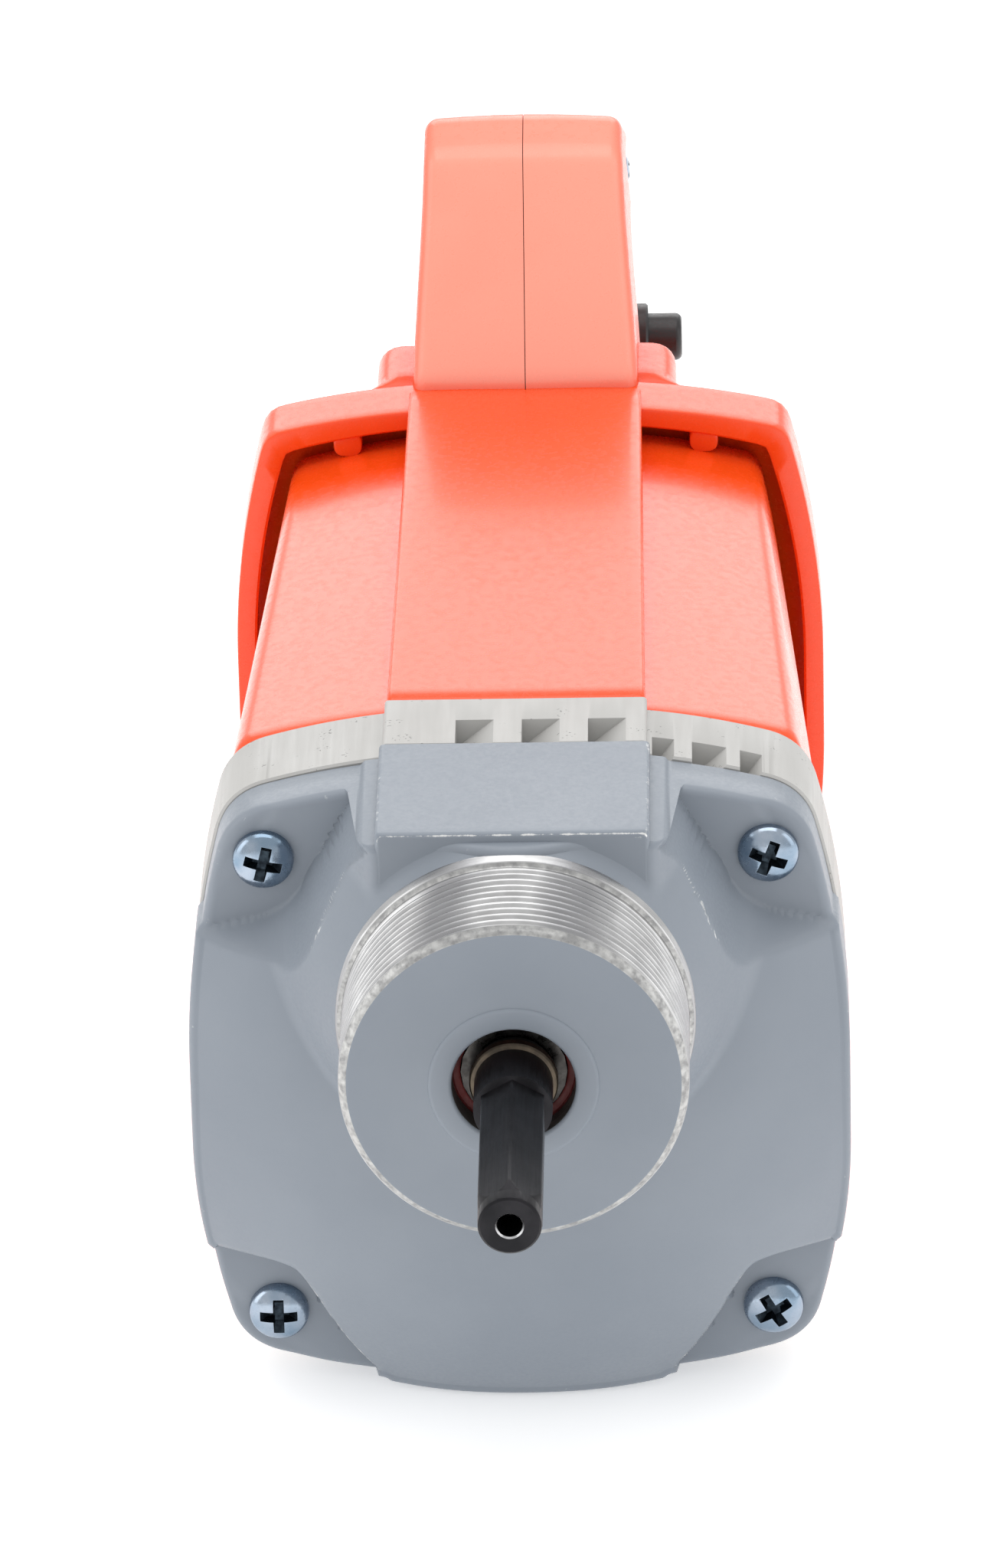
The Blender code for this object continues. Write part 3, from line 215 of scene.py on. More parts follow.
def offset_outline(points: Sequence[Pair], inset: float) -> list[Pair]:
    """A closed outline moved inwards along its own normals; the outline runs anticlockwise."""
    result: list[Pair] = []
    count = len(points)
    for i in range(count):
        ahead = Vector(points[(i + 1) % count]) - Vector(points[i])
        behind = Vector(points[i]) - Vector(points[i - 1])
        along = ahead.normalized() + behind.normalized()
        normal = Vector((-along.y, along.x)).normalized()
        result.append((points[i][0] + normal.x * inset, points[i][1] + normal.y * inset))
    return result


@dataclass
class Skin:
    """A mesh made of rings of points, bridged one after another."""

    datum: Datum
    rings: list[list[Point]] = field(default_factory=list)
    slots: list[int] = field(default_factory=list)

    def ring(self, points: Iterable[Point], slot: int = 0) -> "Skin":
        """Adds a ring of (x, station, height) points; the strip that ends at it takes the slot."""
        self.rings.append([self.datum.point(*point) for point in points])
        self.slots.append(slot)
        return self

    def mesh(self, name: str, closed: bool = False, caps: bool = True) -> bpy.types.Mesh:
        """Bridges the rings.

        Args:
            name: The mesh's name.
            closed: True joins the last ring to the first.
            caps: True fills the first and the last ring where the skin isn't closed.

        Returns:
            The mesh, with its normals pointing out.
        """
        count = len(self.rings[0])
        points = [point for ring in self.rings for point in ring]
        faces: list[tuple[int, ...]] = []
        slots: list[int] = []
        total = len(self.rings)
        for k in range(total if closed else total - 1):
            near, far = k * count, ((k + 1) % total) * count
            for i in range(count):
                j = (i + 1) % count
                faces.append((near + i, near + j, far + j, far + i))
                slots.append(self.slots[(k + 1) % total])
        if caps and not closed:
            faces.append(tuple(range(count)))
            faces.append(tuple(reversed(range((total - 1) * count, total * count))))
            slots += [self.slots[0], self.slots[-1]]
        mesh = bpy.data.meshes.new(name)
        mesh.from_pydata(points, [], faces)
        mesh.polygons.foreach_set("material_index", slots)
        outwards(mesh)
        return mesh


def outwards(mesh: bpy.types.Mesh) -> None:
    """Turns every face of a closed mesh outwards."""
    work = bmesh.new()
    work.from_mesh(mesh)
    bmesh.ops.recalc_face_normals(work, faces=work.faces)
    work.to_mesh(mesh)
    work.free()


def piece(mesh: bpy.types.Mesh, materials: Sequence[bpy.types.Material],
          sharp: float = SHARP) -> bpy.types.Object:
    """Makes an object of a mesh, smooth except at edges sharper than an angle in degrees."""
    obj = bpy.data.objects.new(mesh.name, mesh)
    bpy.context.scene.collection.objects.link(obj)
    for material in materials:
        mesh.materials.append(material)
    mesh.shade_smooth()
    mesh.set_sharp_from_angle(angle=math.radians(sharp))
    return obj


def bevelled(obj: bpy.types.Object, width: float, segments: int = 2, angle: float = 35.0) -> bpy.types.Object:
    """Rounds an object's sharp edges, in millimetres, and applies the result."""
    modifier = obj.modifiers.new("edge", "BEVEL")
    modifier.width = width * MM
    modifier.segments = segments
    modifier.limit_method = "ANGLE"
    modifier.angle_limit = math.radians(angle)
    modifier.harden_normals = False
    return applied(obj)


def applied(obj: bpy.types.Object) -> bpy.types.Object:
    """Replaces an object's mesh by what its modifiers make of it."""
    graph = bpy.context.evaluated_depsgraph_get()
    graph.update()
    mesh = bpy.data.meshes.new_from_object(obj.evaluated_get(graph))
    mesh.name = obj.name
    obj.modifiers.clear()
    obj.data = mesh
    mesh.shade_smooth()
    mesh.set_sharp_from_angle(angle=math.radians(SHARP))
    return obj


def carved(obj: bpy.types.Object, tools: Iterable[bpy.types.Mesh]) -> bpy.types.Object:
    """Cuts meshes out of an object and applies the result."""
    helpers = []
    for mesh in tools:
        tool = bpy.data.objects.new("tool", mesh)
        bpy.context.scene.collection.objects.link(tool)
        modifier = obj.modifiers.new("cut", "BOOLEAN")
        modifier.operation = "DIFFERENCE"
        modifier.object = tool
        modifier.solver = "EXACT"
        modifier.material_mode = "TRANSFER"
        helpers.append(tool)
    applied(obj)
    for tool in helpers:
        bpy.data.objects.remove(tool, do_unlink=True)
    return obj


def lathe(datum: Datum, profile: Sequence[Pair], sides: int, height: float = 0.0, slots: Sequence[int] = (),
          wobble: Optional[Callable[[float, float, float], float]] = None) -> Skin:
    """Turns a profile about an axis along the tool.

    Args:
        datum: Places the axis.
        profile: (radius, station) points.
        sides: Points round each ring.
        height: The axis above the motor axis.
        slots: The material slot of each profile point; all 0 if left out.
        wobble: Gives the radius at (radius, station, angle), for threads and knurls.

    Returns:
        The skin, ready for its mesh.
    """
    skin = Skin(datum)
    for k, (radius, station) in enumerate(profile):
        ring = []
        for a in turns(sides):
            r = wobble(radius, station, a) if wobble else radius
            ring.append((r * math.cos(a), station, height + r * math.sin(a)))
        skin.ring(ring, slots[k] if slots else 0)
    return skin


def block_mesh(datum: Datum, low: Point, high: Point) -> bpy.types.Mesh:
    """A box between two corners, as a cutter."""
    ring = ((low[0], low[2]), (high[0], low[2]), (high[0], high[2]), (low[0], high[2]))
    skin = Skin(datum)
    for station in (low[1], high[1]):
        skin.ring([(x, station, z) for x, z in ring])
    return skin.mesh("block")


def across_mesh(datum: Datum, name: str, centre: Pair, profile: Sequence[Pair],
                closed: bool = False) -> bpy.types.Mesh:
    """Turns a profile about an axis across the tool.

    Args:
        datum: Places the axis.
        name: The mesh's name.
        centre: Station and height of the axis.
        profile: (radius, x) points.
        closed: True for a ring.

    Returns:
        The mesh.
    """
    skin = Skin(datum)
    station, height = centre
    for radius, x in profile:
        skin.ring([(x, station + radius * math.cos(a), height + radius * math.sin(a)) for a in turns(56)])
    return skin.mesh(name, closed=closed)


# ---------------------------------------------------------------- finishes


class Nodes:
    """Short calls for a material's node tree."""

    def __init__(self, material: bpy.types.Material) -> None:
        """Starts from the material's Principled BSDF."""
        self.tree = material.node_tree
        self.shader = self.tree.nodes["Principled BSDF"]
        self.place = self.add("ShaderNodeTexCoord").outputs["Object"]

    def add(self, kind: str, **values: object) -> bpy.types.Node:
        """Adds a node and sets its properties or input sockets by name."""
        node = self.tree.nodes.new(kind)
        for key, value in values.items():
            if hasattr(node, key):
                setattr(node, key, value)
            else:
                node.inputs[key.replace("_", " ").title()].default_value = value
        return node

    def join(self, source: bpy.types.NodeSocket, target: bpy.types.NodeSocket) -> None:
        """Links two sockets."""
        self.tree.links.new(source, target)

    def stretched(self, scale: Point) -> bpy.types.NodeSocket:
        """The object coordinates, scaled along each axis."""
        mapping = self.add("ShaderNodeMapping")
        mapping.inputs["Scale"].default_value = scale
        self.join(self.place, mapping.inputs["Vector"])
        return mapping.outputs["Vector"]

    def noise(self, scale: float, detail: float = 3.0, rough: float = 0.5,
              vector: Optional[bpy.types.NodeSocket] = None) -> bpy.types.NodeSocket:
        """Noise of so many cells to a metre."""
        node = self.add("ShaderNodeTexNoise")
        node.inputs["Scale"].default_value = scale
        node.inputs["Detail"].default_value = detail
        node.inputs["Roughness"].default_value = rough
        self.join(vector or self.place, node.inputs["Vector"])
        return node.outputs["Fac"]

    def limits(self, value: bpy.types.NodeSocket, low: float, high: float, start: float = 0.0,
               end: float = 1.0) -> bpy.types.NodeSocket:
        """Maps low..high to start..end, clamped."""
        node = self.add("ShaderNodeMapRange")
        for key, number in (("From Min", low), ("From Max", high), ("To Min", start), ("To Max", end)):
            node.inputs[key].default_value = number
        self.join(value, node.inputs["Value"])
        return node.outputs["Result"]

    def blend(self, factor: bpy.types.NodeSocket, low: object, high: object) -> bpy.types.NodeSocket:
        """Mixes two colours, each a colour or a socket."""
        node = self.add("ShaderNodeMix", data_type="RGBA")
        self.join(factor, node.inputs["Factor"])
        for key, value in (("A", low), ("B", high)):
            socket = next(s for s in node.inputs if s.name == key and s.type == "RGBA")
            if isinstance(value, bpy.types.NodeSocket):
                self.join(value, socket)
            else:
                socket.default_value = (*value, 1.0)
        return next(s for s in node.outputs if s.type == "RGBA")

    def maths(self, operation: str, a: bpy.types.NodeSocket, b: object) -> bpy.types.NodeSocket:
        """One arithmetic step on two values."""
        node = self.add("ShaderNodeMath", operation=operation)
        self.join(a, node.inputs[0])
        if isinstance(b, bpy.types.NodeSocket):
            self.join(b, node.inputs[1])
        else:
            node.inputs[1].default_value = b
        return node.outputs[0]

    def bump(self, height: bpy.types.NodeSocket, strength: float, distance: float,
             below: Optional[bpy.types.NodeSocket] = None) -> bpy.types.NodeSocket:
        """A bump, on top of another one if given; distance in millimetres."""
        node = self.add("ShaderNodeBump")
        node.inputs["Strength"].default_value = strength
        node.inputs["Distance"].default_value = distance * MM
        self.join(height, node.inputs["Height"])
        if below:
            self.join(below, node.inputs["Normal"])
        return node.outputs["Normal"]


class Grain(Enum):
    """How a finish's fine marks run."""

    EVEN = (1.0, 1.0, 1.0)
    ALONG = (1.0, 0.05, 1.0)
    TURNED = (0.12, 6.0, 0.12)


@dataclass(frozen=True)
class Finish:
    """A surface: its colours, gloss and fine relief."""

    name: str
    colour: Colour
    dark: Colour
    roughness: Pair
    metallic: float = 0.0
    mottle: float = 60.0
    grain: Grain = Grain.EVEN
    grain_scale: float = 900.0
    relief: float = 0.15
    relief_depth: float = 0.05
    coat: float = 0.0
    specular: float = 0.5
    wear: Optional[Colour] = None
    wear_share: Pair = (0.45, 0.62)
    specks: float = 0.0
    reflection_bands: Optional[tuple[float, Colour]] = None
    faded: Optional[Colour] = None
    glow: float = 0.0

    def material(self) -> bpy.types.Material:
        """Builds the node material once and gives the same one after that.

        Returns:
            The material of this finish.
        """
        name = f"{self.name}_finish"
        if name in bpy.data.materials:
            return bpy.data.materials[name]
        material = bpy.data.materials.new(name)
        material.use_nodes = True
        material.diffuse_color = (*self.colour, 1.0)
        nodes = Nodes(material)
        shader = nodes.shader
        shader.inputs["Metallic"].default_value = self.metallic
        shader.inputs["Specular IOR Level"].default_value = self.specular
        shader.inputs["Coat Weight"].default_value = self.coat
        shader.inputs["Coat Roughness"].default_value = 0.08
        colour = nodes.blend(nodes.limits(nodes.noise(self.mottle, 4.0), 0.35, 0.65), self.colour, self.dark)
        grain = nodes.noise(self.grain_scale, 2.0, 0.6, nodes.stretched(self.grain.value))
        rough = nodes.limits(grain, 0.3, 0.7, *self.roughness)
        if self.specks:
            few = nodes.limits(nodes.noise(self.specks, 0.0), 0.66, 0.72)
            small = nodes.limits(nodes.noise(self.specks * 9.0, 0.0), 0.68, 0.74)
            spots = nodes.maths("MULTIPLY", few, small)
            colour = nodes.blend(spots, colour, tuple(c * 0.5 for c in self.dark))
        # Painted reflection: darker stripes across the piece.
        if self.reflection_bands:
            colour = nodes.blend(self.reflection_streaks(nodes), colour, self.reflection_bands[1])
        # Painted glare: faces turned up and forwards are blended towards the paler glare colour.
        if self.faded:
            colour = nodes.blend(self.glare_share(nodes), colour, self.faded)
        if self.glow:
            shader.inputs["Emission Color"].default_value = (1.0, 1.0, 1.0, 1.0)
            shader.inputs["Emission Strength"].default_value = self.glow
        if self.wear:
            rubbed = self.worn(nodes)
            colour = nodes.blend(rubbed, colour, self.wear)
            nodes.join(rubbed, shader.inputs["Metallic"])
        nodes.join(colour, shader.inputs["Base Color"])
        nodes.join(rough, shader.inputs["Roughness"])
        wave = nodes.bump(nodes.noise(self.mottle * 1.7, 2.0), 0.25, 0.12)
        nodes.join(nodes.bump(grain, self.relief, self.relief_depth, wave), shader.inputs["Normal"])
        return material

    def reflection_streaks(self, nodes: Nodes) -> bpy.types.NodeSocket:
        """Painted reflection: soft dark stripes along a turned piece, repeated across it, standing for the
        dark zones of its reflection.
        """
        pitch = self.reflection_bands[0]
        split = nodes.add("ShaderNodeSeparateXYZ")
        nodes.join(nodes.place, split.inputs[0])
        drift = nodes.limits(nodes.noise(55.0, 2.0), 0.3, 0.7, -0.0016, 0.0016)
        across = nodes.maths("ADD", split.outputs["X"], drift)
        wave = nodes.maths("COSINE", nodes.maths("MULTIPLY", across, math.tau / pitch), 0.0)
        return nodes.limits(wave, -0.9, 0.35, 0.85, 0.0)

    def glare_share(self, nodes: Nodes) -> bpy.types.NodeSocket:
        """Painted glare: how far a face looks up and forwards, broken up a little; these faces are made paler
        orange.
        """
        normal = nodes.add("ShaderNodeNewGeometry").outputs["Normal"]
        dot = nodes.add("ShaderNodeVectorMath", operation="DOT_PRODUCT")
        nodes.join(normal, dot.inputs[0])
        dot.inputs[1].default_value = (0.0, -0.80, 0.60)
        cloud = nodes.limits(nodes.noise(26.0, 3.0), 0.3, 0.7, -0.08, 0.08)
        return nodes.limits(nodes.maths("ADD", dot.outputs["Value"], cloud), 0.25, 0.95)

    def worn(self, nodes: Nodes) -> bpy.types.NodeSocket:
        """Where an exposed edge is rubbed bare: the mesh's own edge value, broken up by noise."""
        edge = nodes.add("ShaderNodeAttribute", attribute_name="edge_wear").outputs["Fac"]
        broken = nodes.limits(nodes.noise(420.0, 5.0, 0.7), 0.3, 0.7, 0.25, 1.0)
        return nodes.limits(nodes.maths("MULTIPLY", edge, broken), *self.wear_share)


class Finishes:
    """Every finish of the tool."""

    PAINT = Finish("grey_casting_paint", (0.228, 0.256, 0.294), (0.210, 0.238, 0.276), (0.36, 0.5),
                   mottle=38.0, grain_scale=1500.0, relief=0.2, relief_depth=0.03,
                   wear=(0.80, 0.80, 0.79))
    # Painted reflection: dark stripes across the alloy stand for the dark zones of its reflection.
    ALLOY = Finish("machined_alloy", (0.60, 0.60, 0.60), (0.48, 0.48, 0.48), (0.20, 0.40), 1.0,
                   mottle=240.0, grain=Grain.TURNED, grain_scale=260.0, relief=0.25, relief_depth=0.03,
                   reflection_bands=(0.0205, (0.30, 0.30, 0.31)))
    BRIGHT_EDGE = Finish("worn_alloy_edge", (0.50, 0.50, 0.49), (0.30, 0.30, 0.30), (0.35, 0.6), 1.0,
                         mottle=700.0, grain_scale=1400.0, relief=0.5, relief_depth=0.08)
    # Painted shade: the bore's walls take a near-black colour that stands for the shadow inside the bore.
    BORE_SHADE = Finish("sooty_bore", (0.045, 0.042, 0.040), (0.085, 0.078, 0.072), (0.45, 0.7), 0.4,
                  mottle=420.0, grain=Grain.TURNED, grain_scale=500.0)
    # Painted shade: the front bearing's rings, deep in the bore, are made near black to stand for the shadow
    # there.
    OILED = Finish("oiled_bearing_steel", (0.09, 0.086, 0.082), (0.045, 0.042, 0.040), (0.2, 0.4), 1.0,
                   mottle=300.0)
    ORANGE = Finish("orange_plastic", (0.86, 0.074, 0.006), (0.84, 0.066, 0.005), (0.20, 0.32),
                    mottle=14.0, grain_scale=700.0, relief=0.05, relief_depth=0.02, coat=0.12)
    # Painted glare: faces turned up and towards the camera are made paler orange, standing for glare on the
    # handle.
    GLARE_ORANGE = Finish("sun_faded_orange_plastic", (0.86, 0.074, 0.006), (0.84, 0.066, 0.005),
                         (0.24, 0.38), mottle=20.0, grain_scale=700.0, relief=0.06, relief_depth=0.02,
                         coat=0.15, faded=(0.92, 0.33, 0.235))
    GREY_PLASTIC = Finish("light_grey_plastic", (0.455, 0.45, 0.435), (0.42, 0.413, 0.397), (0.42, 0.58),
                          mottle=55.0, grain=Grain.ALONG, grain_scale=900.0, relief=0.25,
                          relief_depth=0.04, specks=260.0)
    BLACK_PLASTIC = Finish("black_plastic", (0.012, 0.012, 0.013), (0.02, 0.02, 0.021), (0.28, 0.45),
                           mottle=90.0, grain_scale=1800.0, relief=0.3, relief_depth=0.03)
    RUBBER = Finish("black_rubber", (0.014, 0.014, 0.014), (0.024, 0.023, 0.022), (0.6, 0.8),
                    mottle=110.0, grain_scale=2200.0, relief=0.3, relief_depth=0.04, specular=0.35)
    SEAL = Finish("red_seal_rubber", (0.16, 0.010, 0.008), (0.09, 0.006, 0.005), (0.45, 0.65),
                  mottle=300.0)
    ZINC = Finish("blue_zinc_plate", (0.22, 0.30, 0.39), (0.38, 0.44, 0.52), (0.12, 0.3), 1.0,
                  mottle=170.0, grain_scale=1300.0, relief=0.12, relief_depth=0.02)
    DARK_ZINC = Finish("shaded_zinc_recess", (0.035, 0.050, 0.065), (0.012, 0.017, 0.024), (0.25, 0.45),
                       0.9, mottle=900.0)
    OXIDE = Finish("black_oxide_steel", (0.013, 0.013, 0.015), (0.024, 0.023, 0.026), (0.28, 0.46), 0.8,
                   mottle=160.0, grain=Grain.ALONG, grain_scale=1600.0, relief=0.15, relief_depth=0.02)
    BRONZE = Finish("bronze_washer", (0.115, 0.092, 0.068), (0.06, 0.050, 0.040), (0.3, 0.5), 1.0,
                    mottle=400.0, grain=Grain.TURNED, grain_scale=500.0)
    STEEL = Finish("ground_steel", (0.56, 0.56, 0.57), (0.46, 0.46, 0.47), (0.18, 0.34), 1.0,
                   mottle=200.0, grain=Grain.TURNED, grain_scale=500.0, relief=0.15, relief_depth=0.02)
    LAMINATION = Finish("stacked_laminations", (0.20, 0.20, 0.21), (0.13, 0.13, 0.14), (0.35, 0.6), 0.9,
                        mottle=120.0, grain=Grain.TURNED, grain_scale=380.0, relief=0.5,
                        relief_depth=0.06)
    COPPER = Finish("enamelled_copper", (0.52, 0.17, 0.06), (0.40, 0.11, 0.035), (0.22, 0.4), 0.9,
                    mottle=240.0, grain_scale=900.0, relief=0.5, relief_depth=0.1)
    BRASS = Finish("drawn_brass", (0.68, 0.48, 0.19), (0.58, 0.40, 0.15), (0.2, 0.36), 1.0, mottle=150.0,
                   grain=Grain.ALONG, grain_scale=800.0)
    CARBON = Finish("pressed_carbon", (0.022, 0.022, 0.023), (0.035, 0.034, 0.034), (0.5, 0.7),
                    mottle=500.0)
    CAPACITOR = Finish("blue_capacitor_case", (0.03, 0.10, 0.36), (0.025, 0.085, 0.31), (0.25, 0.4),
                       mottle=90.0)
    FLOOR = Finish("pale_floor", (0.93, 0.93, 0.93), (0.92, 0.92, 0.92), (0.55, 0.65), mottle=3.0,
                   relief=0.02, glow=0.40)


# ---------------------------------------------------------------- casing sections


@dataclass(frozen=True)
class Section:
    """A barrel-shaped casing outline, given by its half sizes at the middle and at the corners."""

    mid_w: float
    corner_w: float
    mid_h: float
    corner_h: float
    flat: float = 8.0
    radius: float = 6.0

    def between(self, other: "Section", share: float) -> "Section":
        """The section a share of the way to another one."""
        pairs = zip((self.mid_w, self.corner_w, self.mid_h, self.corner_h),
                    (other.mid_w, other.corner_w, other.mid_h, other.corner_h))
        return Section(*[a + (b - a) * share for a, b in pairs], self.flat, self.radius)

    def inset(self, depth: float) -> "Section":
        """The section moved inwards on all sides."""
        return Section(self.mid_w - depth, self.corner_w - depth, self.mid_h - depth, self.corner_h - depth,
                       self.flat, max(self.radius - depth, 1.0))

    def side(self, height: float) -> float:
        """Half width at a height."""
        share = max(0.0, abs(height) - self.flat) / (self.corner_h - self.flat)
        return self.mid_w - (self.mid_w - self.corner_w) * share ** 2

    def top(self, x: float) -> float:
        """Height of the top or bottom at x."""
        share = max(0.0, abs(x) - self.flat) / (self.corner_w - self.flat)
        return self.mid_h - (self.mid_h - self.corner_h) * share ** 2

    def quarter(self, stop: float, steps: int) -> list[Pair]:
        """Points from the middle of the right side round the corner to x = stop on top."""
        reach = self.radius
        points = [(self.side(z), z) for z in spread(0.0, self.corner_h - reach, steps)]
        start = Vector(points[-1])
        end = Vector((self.corner_w - reach, self.top(self.corner_w - reach)))
        corner = Vector((self.corner_w, self.corner_h))
        points += [curved(start, corner, end, t) for t in spread(0.0, 1.0, 12)[1:-1]]
        return points + [(x, self.top(x)) for x in spread(end.x, stop, steps)]

    def outline(self, block: Optional["Block"] = None, steps: int = 26) -> list[Pair]:
        """The whole outline, anticlockwise from the middle of the right side.

        Args:
            block: A raised block on top, or None for a plain top.
            steps: Points along each stretch.

        Returns:
            (x, height) points; the count depends only on steps and on there being a block.
        """
        upper = self.quarter(block.half if block else 0.0, steps)
        if block:
            upper += block.flank(self.top(block.half))
        else:
            upper = upper[:-1]
        lower = self.quarter(0.0, steps)
        top = upper + [(-x, z) for x, z in reversed(upper)]
        if not block:
            top.insert(len(upper), (0.0, self.top(0.0)))
        bottom = [(-x, -z) for x, z in lower[1:]] + [(x, -z) for x, z in reversed(lower[1:-1])]
        return top[:-1] + [(-lower[0][0], 0.0)] + bottom


@dataclass(frozen=True)
class Block:
    """The raised block or band along the top of the casing."""

    half: float
    top: float
    radius: float = 0.7

    def inset(self, depth: float) -> "Block":
        """The block moved inwards at its sides and top."""
        return Block(self.half - depth, self.top - depth, max(self.radius - depth, 0.2))

    def flank(self, base: float) -> list[Pair]:
        """Points from the foot of the block's right side up to the middle of its top."""
        points = [(self.half, z) for z in spread(base + 0.15, self.top - self.radius, 6)]
        points += arc((self.half - self.radius, self.top - self.radius), self.radius, 0, 90, 6)[1:]
        return points + [(x, self.top) for x in spread(self.half - self.radius, 0.15, 16)[1:]]


FLANGE = Section(54.0, 47.6, 56.0, 49.4)
BODY_FRONT = Section(52.0, 45.9, 54.8, 49.4, radius=2.6)
BODY_REAR = Section(44.6, 40.4, 49.0, 44.2, radius=2.6)
BELL = Section(51.5, 45.4, 56.0, 51.4, radius=3.0)


# ---------------------------------------------------------------- gear cover


@dataclass
class GearCover:
    """The painted casting: crowned front, screw pockets, raised block and threaded nose."""

    datum: Datum
    face: float = 26.5
    rim: float = 48.6
    floor: float = 50.0
    end: float = 59.0
    block: Block = Block(22.0, 57.6)
    crown_depth: float = 22.0
    crown_radius: float = 59.8
    crown_power: float = 2.4
    skirt_slope: float = 1.75
    flare_start: float = 24.5
    flare_slope: float = 1.5
    nose_radius: float = 28.0
    collar_radius: float = 29.0
    collar_start: float = 22.0
    bore: float = 9.9
    bore_depth: float = 4.7
    pitch: float = 2.0
    thread_depth: float = 1.0
    wall: float = 2.4

    def pocket(self, x: float, z: float) -> float:
        """How far a point lies inside a screw pocket; negative is outside."""
        beside = 0.843 * (abs(x) - 24.0) + 0.540 * (abs(z) - 53.8)
        if z > 0:
            beside = 0.876 * abs(x) + 0.482 * z - 48.3
        below = 0.182 * (abs(x) - 40.2) + 0.983 * (abs(z) - 31.6)
        return soft_min(beside, below, 5.0)

    def front(self, x: float, z: float) -> float:
        """Station of the finished front over a point of the section."""
        station = self.face + self.crown_depth * (math.hypot(x, z) / self.crown_radius) ** self.crown_power
        skirt = self.face + 0.06 + self.skirt_slope * soft_ramp(abs(x) - self.block.half - 0.7, 1.2)
        skirt += 0.15 * max(self.datum.offset - z, 0.0)
        station = soft_min(station, skirt, 1.2) if z > 0 else station
        past_collar = math.hypot(x, z - self.datum.offset) - self.collar_radius
        flare = self.flare_start + self.flare_slope * past_collar
        station = soft_min(station, flare, 1.6)
        lean = 2.7 + 9.0 * (1 - smooth(abs(x), 26.0, 38.0))
        wall = self.floor + lean * min(self.pocket(x, z), 0.0)
        return soft_min(soft_max(station, wall, 1.2), self.floor, 1.4)

    def body(self) -> bpy.types.Object:
        """The casting behind the nose: front, side walls, rear flange and the hollow behind them."""
        offset, hole, edge = self.datum.offset, 16.6, 1.5
        outline = FLANGE.outline(None, 84)
        rays = []
        for x, z in outline:
            inset = 0.8 * smooth(self.pocket(x, z), -0.6, 0.6)
            reach = math.hypot(x, z - offset)
            rays.append((x / reach, (z - offset) / reach, reach - inset))
        skin = Skin(self.datum)
        shares = spread(0.0, 1.0, 150)
        for share in shares:
            ring = []
            for dx, dz, reach in rays:
                r = hole + (reach - edge - hole) * share
                ring.append((dx * r, self.front(dx * r, offset + dz * r), offset + dz * r))
            skin.ring(ring)
        for short, drop in eased(edge, 15.0, 90.0, 6):
            ring = []
            for dx, dz, reach in rays:
                inner = reach - edge
                r = reach - short
                ring.append((dx * r, self.front(dx * inner, offset + dz * inner) + drop, offset + dz * r))
            skin.ring(ring)
        rim = ((0.0, self.floor + 2.2), (0.0, self.end - 0.3), (0.3, self.end), (4.0, self.end))
        for inset, station in rim:
            around = [(dx, dz, reach - inset) for dx, dz, reach in rays]
            skin.ring([(dx * r, station, offset + dz * r) for dx, dz, r in around])
        for share in spread(1.0, 0.0, 14):
            ring = []
            for dx, dz, reach in rays:
                r = hole + (reach - 5.0 - hole) * share
                x, z = dx * r, offset + dz * r
                ring.append((x, min(self.front(x, z) + self.wall, self.end - 0.6), z))
            skin.ring(ring)
        obj = piece(skin.mesh("gear_cover_casting", closed=True), [Finishes.PAINT.material()], 40.0)
        self.mark_edges(obj, len(outline), len(shares) + 6)
        return obj

    def raised_block(self) -> bpy.types.Object:
        """The block on top of the casting, with worn edges."""
        half, top, round_ = self.block.half, self.block.top, 0.8
        foot = FLANGE.top(half) - 16.0
        side = [(half, z) for z in spread(foot, top - round_, 14)]
        corner = arc((half - round_, top - round_), round_, 0, 90, 6)[1:]
        crest = [(x, top) for x in spread(half - round_, 0.0, 18)[1:]]
        right = side + corner + crest
        outline = right + [(-x, z) for x, z in reversed(right[:-1])]
        skin = Skin(self.datum)
        wear: list[float] = []
        steps = [(self.end, 0.0)] + [(s, 0.0) for s in spread(self.end - 1.0, self.face + round_, 22)]
        steps += [(self.face + back, inset) for back, inset in eased(round_, 15.0, 90.0, 6)]
        for station, inset in steps:
            ring = []
            for x, z in outline:
                shrink = 1 - inset / half
                ring.append((x * shrink, station, z - inset * smooth(z, foot, top - 2.0)))
                at_corner = smooth(z, top - 1.6, top - 0.2) * smooth(abs(x), half - 1.5, half - 0.3)
                at_front = math.sin(math.pi * clamp(inset / round_)) ** 2
                wear.append(max(0.62 * at_corner, 0.95 * at_front * smooth(z, top - 1.5, top - 0.6),
                                0.6 * at_front * smooth(abs(x), half - 1.2, half - 0.3)))
            skin.ring(ring)
        obj = piece(skin.mesh("gear_cover_block"), [Finishes.PAINT.material()], 40.0)
        layer = obj.data.attributes.new("edge_wear", "FLOAT", "POINT")
        layer.data.foreach_set("value", wear)
        return obj

    def mark_edges(self, obj: bpy.types.Object, count: int, rings: int) -> None:
        """Stores how exposed each point of the front is, for the paint's bare edges.

        Args:
            obj: The casting.
            count: Points round each ring.
            rings: How many rings the front and its rounded rim have.
        """
        points = obj.data.vertices
        values = [0.0] * len(points)
        for k in range(2, rings - 1):
            for i in range(count):
                here = points[k * count + i].co
                inward = points[(k - 2) * count + i].co
                outward = points[(k + 1) * count + i].co
                bend = ((inward.y + outward.y) / 2 - here.y) / MM
                values[k * count + i] = clamp(bend * 2.2)
        for k in range(rings - 6, rings + 1):
            for i in range(count):
                values[k * count + i] = max(values[k * count + i], 0.5)
        layer = obj.data.attributes.new("edge_wear", "FLOAT", "POINT")
        layer.data.foreach_set("value", values)

